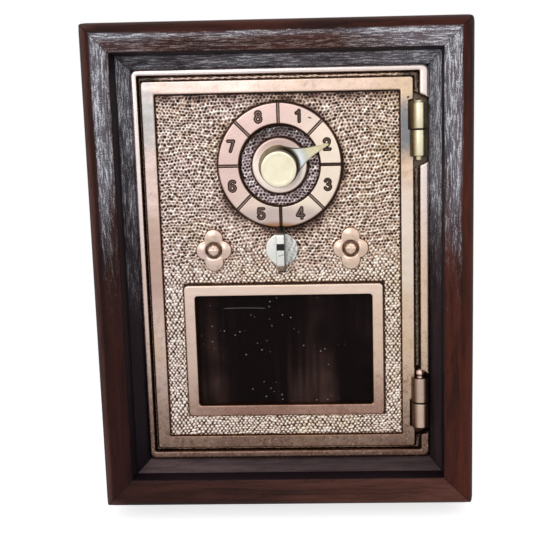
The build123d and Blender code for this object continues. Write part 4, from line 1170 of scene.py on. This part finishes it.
class BANK_OT_door(Piece):
    """Border, pebbled field, window bezel and rosettes of the door."""
    bl_idname = "bank.door"
    bl_label = "Door"

    def execute(self, context):
        dress(["door_casting"], material("door_metal", cast_metal, "back"))
        self.border()
        self.field()
        self.bezel()
        for name, side in (("left_rosette", -1), ("right_rosette", 1)):
            self.rosette(name, DIAL_X + side * ROSETTE_X, ROSETTE_Z)
        return {"FINISHED"}

    def border(self):
        """Flat border with rounded edges and two dark spots; its right edge steps in beside the frame's
        knuckles."""
        section = flat_section(BORDER + COVER + SKIN, DOOR_FRONT - PROUD, (0.7, 2.6), 0.42, 7, 0.7, 9)
        outer, inner = grow(DOOR, SKIN), grow(FIELD, -COVER)

        def strips(points, side):
            if side == 1:
                points[..., 0] = self.notched(points[..., 0], points[..., 2], inner[1], outer[1])
            wear(points, smoothstep(0.0, DOOR_FRONT, points[..., 1]), (0.045, 16, 41), (0.02, 5, 42))
            return [sheet(points)]

        points, faces, relief = framing(outer, inner, (0.9, 0.5), section, 460, strips)
        for x, z in DARK_SPOTS:
            away = np.hypot(points[:, 0] - x, points[:, 2] - z)
            relief = np.minimum(relief, smoothstep(0.25, 0.5, away))
        make_mesh("door_border", points, faces, "door", casting("raised"), relief)

    def notched(self, x, z, inner, outer):
        """Places across the right border, with its outer edge moved in where the knuckles stand."""
        edge, notch, half = np.full(z.shape, outer), HINGE_X - KNUCKLE_RADIUS - 0.5 + SKIN, KNUCKLE_GAP / 2
        for low, high in ((UPPER_HINGE + half - 0.2, UPPER_HINGE + KNUCKLE_LENGTH + 1),
                          (LOWER_HINGE - KNUCKLE_LENGTH - 0.2, LOWER_HINGE - half + 1)):
            edge[(z > low) & (z < high)] = notch
        return inner + (x - inner) / (outer - inner) * (edge - inner)

    def field(self):
        """Pebbled ground between the raised forms, in bands from the foot up."""
        across = np.arange(FIELD[0], FIELD[1] + FIELD_STEP, FIELD_STEP)
        bands = np.linspace(FIELD[2], FIELD[3], FIELD_BANDS + 1)
        for index, (z0, z1) in enumerate(zip(bands, bands[1:])):
            x, z = np.meshgrid(across, np.linspace(z0, z1, int((z1 - z0) / FIELD_STEP) + 1))
            points, faces, relief = self.ground(x, z)
            make_mesh("pebbled_field_%d" % (index + 1), points, faces, "door", casting("field"), relief)

    def ground(self, x, z):
        """The pebbles, lower and darker beside the raised forms, from dirt and painted shade.  Its relief is
        their height less the soot and painted shade."""
        bezel, away = grow(WINDOW, BEZEL), np.hypot(x - DIAL_X, z - DIAL_Z)
        ring = np.abs(away - (RING_OUTER + RING_INNER) / 2) - (RING_OUTER - RING_INNER) / 2
        edge = np.minimum.reduce([rectangle_distance(x, z, FIELD), -rectangle_distance(x, z, bezel), ring,
                                  np.abs(away - BOSS_RADIUS)])
        height = pebbles(x, z, setting("bank_brass", "pitch")) * (0.35 + 0.65 * smoothstep(0.1, 0.9, edge))
        floor = FIELD_FLOOR - SKIN
        depth = floor - 0.02 - setting("bank_brass", "relief") * height + 0.05 * waves(x, z, 12, 51)
        points = np.stack([x, np.minimum(depth, floor), z], axis=-1)
        relief = height * smoothstep(-0.1, 0.5, edge) * (1 - self.soot_and_shade(x, z, away))
        return points, grid_faces(*x.shape, keep=self.open_ground(x, z, bezel)), relief

    def open_ground(self, x, z, bezel):
        """Which quads are kept: not those under the window, the ring or the boss."""
        x, z = [(places[:-1, :-1] + places[1:, 1:]) / 2 for places in (x, z)]
        away = np.hypot(x - DIAL_X, z - DIAL_Z)
        under_ring = (away > RING_INNER + FIELD_TUCK) & (away < RING_OUTER - FIELD_TUCK)
        return (rectangle_distance(x, z, bezel) < 0.2) & ~under_ring & (away > BOSS_RADIUS - FIELD_TUCK)

    def soot_and_shade(self, x, z, away):
        """A share from 0 to 0.5 of soot and painted shade: along the top, round the ring and most of all
        below it, and inside the ring towards its top."""
        gap, rise = away - RING_OUTER, (z - DIAL_Z) / np.maximum(away, 1)
        soot_and_shade = 0.6 * smoothstep(4.0, 0.0, FIELD[3] - z)
        soot_and_shade += 0.5 * (gap > 0) * smoothstep(2.6, 0.0, gap)
        soot_and_shade += 0.5 * (gap > 0) * smoothstep(5.0, 0.5, gap) * smoothstep(0.2, -0.9, rise)
        soot_and_shade += (away < RING_INNER) * (0.05 + 0.25 * smoothstep(-0.1, 0.9, rise))
        return np.clip(soot_and_shade * (0.7 + 0.5 * waves(x, z, 9, 53)), 0, 0.5)

    def bezel(self):
        """Raised frame round the window, with rounded edges and a step down to the glass."""
        section = flat_section(BEZEL + COVER + SKIN, BEZEL_FRONT - PROUD, (1.0, 0.6), 0.5, 8, 0.8, 7)
        outer, inner = grow(WINDOW, BEZEL + SKIN), grow(WINDOW, -COVER)

        def strips(points, side):
            wear(points, smoothstep(-1.0, BEZEL_FRONT, points[..., 1]), (0.05, 13, 61), (0.02, 4, 62))
            return [sheet(points)]

        points, faces, relief = framing(outer, inner, (1.3, 0.9), section, 240, strips)
        make_mesh("window_bezel", points, faces, "door", casting("bezel"), relief)

    def rosette(self, name, x, z):
        """A four-lobed boss.  Its outline is the furthest crossing of a ray with five circles; the height
        falls from a domed stud through a ring of lobes to a rounded edge."""
        angle, reach = circle(144)[:, None], 0
        for cx, cz in LOBES:
            along = cx * np.cos(angle) + cz * np.sin(angle)
            inside = LOBE_RADIUS ** 2 - (cx ** 2 + cz ** 2 - along ** 2)
            reach = np.maximum(reach, along + np.sqrt(np.maximum(inside, 0)))
        reach = reach + SKIN
        radius = reach * np.linspace(0, 1, 26)
        edge = reach - radius
        lobes = 0.6 + 0.4 * np.cos(4 * angle) * smoothstep(0.0, 1.6, radius)
        lobes *= LOBE_HEIGHT * smoothstep(0.0, 2.2, edge)
        stud = STUD_HEIGHT * np.sqrt(np.clip(1 - (radius / STUD_RADIUS) ** 2, 0, 1))
        moat = MOAT_DEPTH * np.exp(-((radius - MOAT_RADIUS) / 0.35) ** 2)
        ease = 0.32 * (1 - np.sqrt(np.clip(1 - (1 - np.clip(edge / 0.45, 0, 1)) ** 2, 0, 1)))
        depth = ROSETTE_FRONT - PROUD - lobes - stud + moat + ease
        depth = np.hstack([depth, np.broadcast_to([0.25, 0.6], (len(angle), 2))])
        radius = np.hstack([radius, reach + SKIN, reach + SKIN])
        points = np.stack([x + radius * np.cos(angle), depth, z + radius * np.sin(angle)], axis=-1)
        relief = 1 - np.exp(-((radius - MOAT_RADIUS) / 0.4) ** 2) * 0.8
        make_mesh(name, points, grid_faces(*radius.shape, wrap_rows=True), "door", casting("rosette"), relief)


class BANK_OT_dial(Piece):
    """Numbered ring and boss of the combination dial."""
    bl_idname = "bank.dial"
    bl_label = "Dial"

    def execute(self, context):
        self.ring()
        section = disc_section(BOSS_RADIUS + SKIN, BOSS_FRONT - SKIN, 0.6, 0.8, 9, 7.2, 14)
        points, faces = revolve(section, (DIAL_X, DIAL_Z), 144)
        make_mesh("dial_boss", points, faces, "door", casting("boss"))
        return {"FINISHED"}

    def ring(self):
        """The ring on a polar grid: rounded edges, radial grooves, and upright figures sunk by a smooth step
        of their distance to the strokes."""
        sectors, sunk, wide = [setting("bank_dial", name) for name in ("sectors", "depth", "stroke")]
        front = RING_FRONT - sunk - SKIN
        radius, lift = self.section(front)
        angle = circle(1080)[:, None]
        x, z = radius * np.cos(angle), radius * np.sin(angle)
        depth = np.broadcast_to(lift, x.shape).copy()
        flat = smoothstep(0.7, 0.0, depth - front)
        sunken = np.zeros(x.shape)
        for n in range(sectors):
            turn = 2 * math.pi * n / sectors
            across = np.abs(-math.sin(turn) * x + math.cos(turn) * z)
            ahead = math.cos(turn) * x + math.sin(turn) * z > 0
            groove = ahead * smoothstep(0.52, 0.34, across)
            depth += groove * (sunk + 0.1) * flat
            # dirt, lighter along the middle, though less so in the grooves at the right and at the foot
            core = smoothstep(0.32, 0.12, across) * ahead * (0.55 if n in (6, 0) else 1)
            sunken = np.maximum(sunken, groove * (0.95 - 0.40 * core))
        unit = setting("bank_dial", "figure") - wide
        for figure in range(1, sectors + 1):
            turn = math.pi / 2 - math.pi / sectors * (2 * figure - 1)
            right, up = FIGURE_RADIUS * math.cos(turn), FIGURE_RADIUS * math.sin(turn)
            near = numeral(figure, (x - right) / unit, (z - up) / unit) * unit
            mark = smoothstep(wide / 2 + 0.06, wide / 2 - 0.08, near)
            depth += mark * sunk * flat
            # the same in the strokes, though less so in the first three figures
            core = (0.27 if figure <= 3 else 0.34) * smoothstep(wide * 0.34, wide * 0.10, near)
            sunken = np.maximum(sunken, mark * (0.94 - core))
        sunken = np.maximum(sunken, 0.75 * smoothstep(0.30, 0.12, stroke_line(x, z, *RING_NICK)))
        depth += 0.02 * waves(x, z, 9, 71) * flat
        points = np.stack([DIAL_X + x, depth, DIAL_Z + z], axis=-1)
        make_mesh("dial_ring", points, grid_faces(*x.shape, wrap_rows=True), "door", casting("ring"),
                  1 - sunken)

    def section(self, front):
        """The ring's radii and depths from its inner wall to its outer one; each edge is a quarter circle."""
        inner, outer, turn = RING_INNER - SKIN, RING_OUTER + SKIN, quarter(6)
        flat = np.linspace(inner + RING_INNER_EASE, outer - RING_OUTER_EASE, 46)[1:-1]
        radius = [[inner, inner], inner + RING_INNER_EASE * (1 - np.cos(turn))[1:], flat,
                  outer - RING_OUTER_EASE * (1 - np.sin(turn)), [outer, outer]]
        depth = [[RING_ROOT, front + RING_INNER_EASE], front + RING_INNER_EASE * (1 - np.sin(turn))[1:],
                 np.full(len(flat), front), front + RING_OUTER_EASE * (1 - np.cos(turn)),
                 [front + 0.8, RING_ROOT]]
        return np.concatenate(radius), np.concatenate(depth)


class BANK_OT_pointer(Piece):
    """Pointer with its flared neck, and the round knob."""
    bl_idname = "bank.pointer"
    bl_label = "Pointer"

    def execute(self, context):
        points, faces, relief = join_grids([self.plate(), self.knob()])
        make_mesh("pointer", points, faces, "dial", material("pale_brass", pointer_metal), relief,
                  ["pointer_knob"])
        return {"FINISHED"}

    def outline(self):
        """Round hub, two hollow flanks that run out to the tip, and a half-round tip."""
        touch = math.radians(62)
        shoulder, tip = HUB_RADIUS * ray(touch), np.array([TIP_MIDDLE, TIP_RADIUS])
        share = np.linspace(0, 1, 70)[:, None]
        lean = np.array([HUB_RADIUS + 1.0, 1.35])
        flank = shoulder * (1 - share) ** 2 + 2 * share * (1 - share) * lean + tip * share ** 2
        hub = HUB_RADIUS * ray(np.linspace(touch, 2 * np.pi - touch, 90)[1:-1])
        cap = tip * [1, 0] + TIP_RADIUS * ray(np.linspace(-np.pi / 2, np.pi / 2, 9)[1:-1])
        return np.vstack([flank[::-1], hub, flank * [1, -1], cap])

    def plate(self):
        """Front face whose height above the edge dies away exponentially from the neck, then a thin edge
        and the back."""
        outline = self.outline()[:, None]
        outward = outline / np.hypot(outline[..., :1], outline[..., 1:])
        neck, proud = outward * NECK_RADIUS, outline + outward * 0.06
        share = np.linspace(0, 1, 34)[:, None] ** 1.3
        face = neck * (1 - share) + outline * share
        radius = np.hypot(face[..., 0], face[..., 1])
        front = POINTER_FRONT - POINTER_SLOPE * (POINTER_REACH - radius)
        front -= FLARE_HEIGHT * np.exp(-(radius - NECK_RADIUS) / FLARE_LENGTH)
        front += 0.22 * smoothstep(0.30, 0.0, np.hypot(*np.moveaxis(face - outline, -1, 0)))
        back = np.full((len(outline), 1), POINTER_BACK)
        edge = np.minimum(front[:, -1:] + 0.2, back)
        flat = np.concatenate([neck, face, proud, proud, outline, neck * 0.3], axis=1)
        depth = np.hstack([np.full_like(back, NECK_FRONT), front, edge, back - 0.1, back, back])
        out = np.hypot(flat[..., 0], flat[..., 1])
        # painted highlight in rings round the flare and the hub, painted shade in a crescent beside the knob
        # towards the tip
        lit = np.exp(-((out - 7.3) / 0.7) ** 2) + 0.6 * smoothstep(0.7, 0.3, np.abs(out - HUB_RADIUS))
        ahead = smoothstep(0.0, 0.8, flat[..., 0] / np.maximum(out, 0.1))
        relief = 0.78 - 0.74 * smoothstep(6.9, 5.9, out) * ahead + 0.30 * np.clip(lit, 0, 1)
        faces = grid_faces(*depth.shape, wrap_rows=True)[:, ::-1]
        return self.leaned(self.turned(flat, depth)), faces, relief

    def turned(self, flat, depth):
        """Turn the pointer up to its numeral."""
        c, s = math.cos(POINTER_ANGLE), math.sin(POINTER_ANGLE)
        u, v = flat[..., 0], flat[..., 1]
        return np.stack([DIAL_X + c * u - s * v, depth, DIAL_Z + s * u + c * v], axis=-1)

    def leaned(self, points):
        """The spindle's end is a little bent: the knob stands right and low of its foot by a share of how
        far forward it is."""
        share = np.clip((points[..., 1] - POINTER_BACK) / (KNOB_FRONT - POINTER_BACK), 0, 1)
        return points + share[..., None] * KNOB_LEAN

    def knob(self):
        """A thick disc on the neck, with eased edges, a nearly flat face and painted shade on its rim."""
        stem = KNOB_RADIUS - 0.9
        profile = rounded([(stem, KNOB_BACK + 0.5), (stem, KNOB_BACK + 0.05), (KNOB_RADIUS, KNOB_BACK - 0.05),
                           (KNOB_RADIUS, KNOB_FRONT + 0.02), (KNOB_RADIUS - 1.2, KNOB_FRONT)], 0.42, 7)
        face = np.linspace(KNOB_RADIUS - 1.3, 0, 16)
        face = np.column_stack([face, KNOB_FRONT + 0.03 * (1 - (face / KNOB_RADIUS) ** 2)])
        points, faces = revolve(np.vstack([profile, face]), (DIAL_X, DIAL_Z), 128)
        away = np.hypot(points[..., 0] - DIAL_X, points[..., 2] - DIAL_Z)
        # painted shade: a low relief on the knob's rim
        return self.leaned(points), faces[:, ::-1], np.where(away > KNOB_RADIUS - 0.16, 0.35, 1.0)


class BANK_OT_turn(Piece):
    """Disc and upright fin of the thumb turn."""
    bl_idname = "bank.turn"
    bl_label = "Thumb turn"

    def execute(self, context):
        dress(["thumb_turn"], material("nickel_shaft", plain_metal, tone(200, 202, 202)))
        section = disc_section(TURN_RADIUS + SKIN, TURN_FRONT - SKIN, TURN_BACK, 0.3, 7, 4.3, 10)
        points, faces = revolve(section, (DIAL_X, TURN_Z), 120)
        x, z = points[..., 0] - DIAL_X, points[..., 2] - TURN_Z
        # painted shade: grey mottling on the right of the disc, beside the fin
        mottled_shade = smoothstep(-1.5, 3.0, x) * (0.35 + 0.4 * waves(x, z, 1.1, 81))
        points, faces, relief = join_grids([(points, faces, 1 - np.clip(mottled_shade, 0, 0.6)), self.fin()])
        finish = material("nickel", plain_metal, tone(255, 254, 248), 0.33, dull=tone(52, 52, 52))
        make_mesh("turn_grip", points, faces, "turn", finish, relief)
        return {"FINISHED"}

    def fin(self):
        """A bar on edge: a side view in height and depth, carried across by a rectangle whose front edges
        are quarter circles."""
        height, top = self.side_view().T
        half, turn = FIN_THICK / 2 + FIN_SKIN, quarter(6)
        back, drop = FIN_EASE * (1 - np.cos(turn)), FIN_EASE * (1 - np.sin(turn))
        middle = np.linspace(-half + FIN_EASE, half - FIN_EASE, 9)[1:-1]
        across = np.concatenate([[-half], back - half, middle, half - back[::-1], [half]])
        drop = np.interp(half - np.abs(across), back, drop)
        root = TURN_FRONT + 0.5 * np.clip((FIN_HALF - np.abs(height)) / 1.6, 0, 1)
        across, height = np.meshgrid(across, height)
        depth = np.minimum(top[:, None] + drop, root[:, None])
        depth[:, [0, -1]] = root[:, None]
        points = np.stack([DIAL_X + across, depth, TURN_Z + height], axis=-1)
        return points, grid_faces(*depth.shape), 1 - self.shade_and_scratch(across, height, top[:, None] - FIN_FRONT)

    def side_view(self):
        """Heights and depths: up a slope, along the flat front and its notch, and down the other slope."""
        front, floor = FIN_FRONT - FIN_SKIN, FIN_FRONT + NOTCH_DEPTH - FIN_SKIN
        foot, flat = FIN_HALF + FIN_SKIN, FIN_FLAT + FIN_SKIN
        low, high = NOTCH_LOW + FIN_SKIN, NOTCH_HIGH - FIN_SKIN
        rise = rounded([(-foot, TURN_FRONT), (-flat, front), (low - 0.1, front)], 1.0, 9)
        notch = rounded([(low - 0.1, front), (low, front), (low, floor), (high, floor), (high, front),
                         (high + 0.1, front)], FIN_SKIN, 3)
        fall = rounded([(high + 0.1, front), (flat, front), (foot, TURN_FRONT)], 1.0, 9)
        path = np.vstack([rise[:-1], notch, fall[1:]])
        gaps = np.maximum(1, np.ceil(np.hypot(*np.diff(path, axis=0).T) / 0.25)).astype(int)
        legs = [np.linspace(a, b, n, endpoint=False) for a, b, n in zip(path, path[1:], gaps)]
        return np.vstack(legs + [path[-1:]])

    def shade_and_scratch(self, across, height, sunk):
        """Dark share of the fin: painted shade in the notch, on the long edges and at the ends, and a slanted
        scratch.
        """
        notch = smoothstep(0.15 - FIN_SKIN, 0.5 - FIN_SKIN, sunk) * (np.abs(height - 1.0) < 1.1)
        scratch = 0.75 * smoothstep(0.18, 0.08, np.abs(height + 1.5 - 0.3 * across)) * (across > -0.6)
        edge = 0.8 * smoothstep(0.84, 0.98, np.abs(across) / (FIN_THICK / 2 + FIN_SKIN))
        ends = 0.85 * smoothstep(4.3, 5.6, height) + 0.8 * smoothstep(-6.1, -6.8, height)
        return np.maximum.reduce([notch, scratch, edge, ends])


class BANK_OT_lock(Piece):
    """Finish of the lock, the glass and the fittings behind the door."""
    bl_idname = "bank.lock"
    bl_label = "Lock and glass"

    def execute(self, context):
        dress(["window_glass"], material("old_glass", old_glass))
        dress(["glass_retainer", "spindle_sleeve", "wheel_spacers", "turn_bush", "bolt_guides", "latch_bolt",
               "fence_lever", "front_wheel", "middle_wheel", "drive_wheel"],
              material("lock_brass", plain_metal, tone(204, 177, 129)))
        dress(["retainer_screws", "sleeve_screws", "guide_screws", "spindle", "spindle_nut", "fence_nut",
               "turn_clip", "friction_washer"], material("lock_steel", plain_metal, tone(173, 169, 165)))
        return {"FINISHED"}


FLOOR_HALF = 6.0                         # metres


class BANK_OT_stage(Piece):
    """Floor, lamps and camera."""
    bl_idname = "bank.stage"
    bl_label = "Stage"

    def execute(self, context):
        scene = context.scene
        mesh = bpy.data.meshes.new("floor")
        corners = [(-1, -1), (1, -1), (1, 1), (-1, 1)]
        mesh.from_pydata([(FLOOR_HALF * x, FLOOR_HALF * y, 0) for x, y in corners], [], [(0, 1, 2, 3)])
        mesh.materials.append(material("pale_floor", pale_floor))
        floor = bpy.data.objects.new("floor", mesh)
        scene.collection.objects.link(floor)
        scene.world = studio(Paint(bpy.data.worlds.new("studio")))
        key, fill = setting("bank_stage", "key"), setting("bank_stage", "fill")
        lamp("key_lamp", (-0.35, -1.1, 0.50), (0, -0.05, 0.09), 0.55, 0.40, key)
        lamp("fill_lamp", (0.9, -0.8, 0.5), (0, -0.05, 0.08), 0.6, 0.6, fill)
        lamp("top_lamp", (0.1, 0.1, 1.2), (0, 0, 0.08), 0.8, 0.8, fill)
        camera()
        scene.view_settings.view_transform = "Standard"
        return {"FINISHED"}


STRAIGHT, MIRRORED, THROUGH = 0, 3, 6    # kinds of ray, by their places among Light Path's outputs


def seen_share(paint):
    """1 for the rays that show the background: straight ones, mirrored ones and ones through glass."""
    rays = [paint.node("LightPath", out=kind) for kind in (STRAIGHT, MIRRORED, THROUGH)]
    return rays[0].math("MAXIMUM", rays[1]).math("MAXIMUM", rays[2])


def pale_floor(paint):
    """Pale matt floor that keeps the object's shadow near it and fades to plain white around it."""
    x, y = paint.axis("X"), paint.axis("Y") - 35.0
    fade = ((x * x + y * y) ** 0.5).step(70.0, 190.0)
    seen = seen_share(paint) - paint.node("LightPath", out=MIRRORED) * 0.6
    grey = paint.mix((0.80, 0.80, 0.80), (0.84, 0.84, 0.84), paint.noise(3.0, 2.0))
    matt = paint.node("BsdfDiffuse", None, {"Color": grey})
    glow = paint.node("Emission", None, {"Strength": 0.74})
    white = paint.node("Emission", None, {"Strength": 1.0})
    lit = paint.node("AddShader", None, {0: matt, 1: glow})
    near = paint.node("MixShader", None, {0: fade, 1: lit, 2: white})
    whole = paint.node("MixShader", None, {0: seen, 1: matt, 2: near})
    paint.node("OutputMaterial", None, {"Surface": whole})
    return paint.owner


def studio(paint):
    """Even soft light, seen as white."""
    soft, white = [paint.node("Background", None, {"Color": (1, 1, 1, 1), "Strength": strength})
                   for strength in (setting("bank_stage", "world"), 1.0)]
    light = paint.node("MixShader", None, {0: seen_share(paint), 1: soft, 2: white})
    paint.node("OutputWorld", None, {"Surface": light})
    return paint.owner


def lamp(name, where, towards, width, height, power):
    """An area lamp that looks at a point, with its own +Y kept up."""
    data = bpy.data.lights.new(name, "AREA")
    data.shape = "RECTANGLE"
    data.size = width
    data.size_y = height
    data.energy = power
    made = bpy.data.objects.new(name, data)
    bpy.context.scene.collection.objects.link(made)
    made.location = where
    made.rotation_euler = Vector(np.subtract(towards, where)).to_track_quat("-Z", "Y").to_euler()


CAMERA_PLACE = (22.7, 28.0, 244.7)       # right, up and forward of the middle of the brass, mm
CAMERA_TURN = (8.12, -1.33, 0.96)        # rotation vector from the casting's frame to the lens, degrees
PRINCIPAL = (339.0, 290.0)               # pixel straight ahead of the lens
PICTURE = 533.0                          # side of the picture, pixels


def camera():
    """The photograph's camera: its place, its turn as a rotation vector, and a small shift."""
    data = bpy.data.cameras.new("camera")
    data.sensor_width = 36.0
    data.lens = setting("bank_stage", "focal")
    data.shift_x = (PICTURE / 2 - PRINCIPAL[0]) / PICTURE
    data.shift_y = (PRINCIPAL[1] - PICTURE / 2) / PICTURE
    data.clip_start = 0.01
    data.clip_end = 100.0
    turn = Vector([math.radians(a) for a in CAMERA_TURN])
    casting_from_lens = Matrix.Rotation(turn.length, 3, turn.normalized()).transposed()
    world_from_casting = Matrix(((1, 0, 0), (0, 0, -1), (0, 1, 0)))
    made = bpy.data.objects.new("camera", data)
    bpy.context.scene.collection.objects.link(made)
    right, up, forward = CAMERA_PLACE
    spot = place([right, -forward, up])
    made.matrix_world = Matrix.Translation(Vector(spot)) @ (world_from_casting @ casting_from_lens).to_4x4()
    bpy.context.scene.camera = made


# ---- add-on --------------------------------------------------------------------------------
class BANK_PT_panel(bpy.types.Panel):
    """Lists the pieces."""
    bl_idname = "BANK_PT_panel"
    bl_label = "Bank Box Door"
    bl_space_type = "VIEW_3D"
    bl_region_type = "UI"
    bl_category = "Bank Box"

    def draw(self, context):
        for piece in OPERATORS:
            self.layout.operator(piece.bl_idname)


OPERATORS = (BANK_OT_boards, BANK_OT_feet, BANK_OT_rim, BANK_OT_hinges, BANK_OT_door, BANK_OT_dial,
             BANK_OT_pointer, BANK_OT_turn, BANK_OT_lock, BANK_OT_stage)


def register():
    for group in GROUPS.values():
        bpy.utils.register_class(group)
    for name, group in GROUPS.items():
        setattr(bpy.types.Scene, name, PointerProperty(type=group))
    for piece in OPERATORS:
        bpy.utils.register_class(piece)
    bpy.utils.register_class(BANK_PT_panel)


def unregister():
    bpy.utils.unregister_class(BANK_PT_panel)
    for piece in reversed(OPERATORS):
        bpy.utils.unregister_class(piece)
    for name, group in GROUPS.items():
        delattr(bpy.types.Scene, name)
        bpy.utils.unregister_class(group)


def main():
    """Register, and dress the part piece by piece."""
    register()
    for piece in OPERATORS:
        group, name = piece.bl_idname.split(".")
        getattr(getattr(bpy.ops, group), name)()
    bpy.context.view_layer.update()


if __name__ == "__main__":
    main()
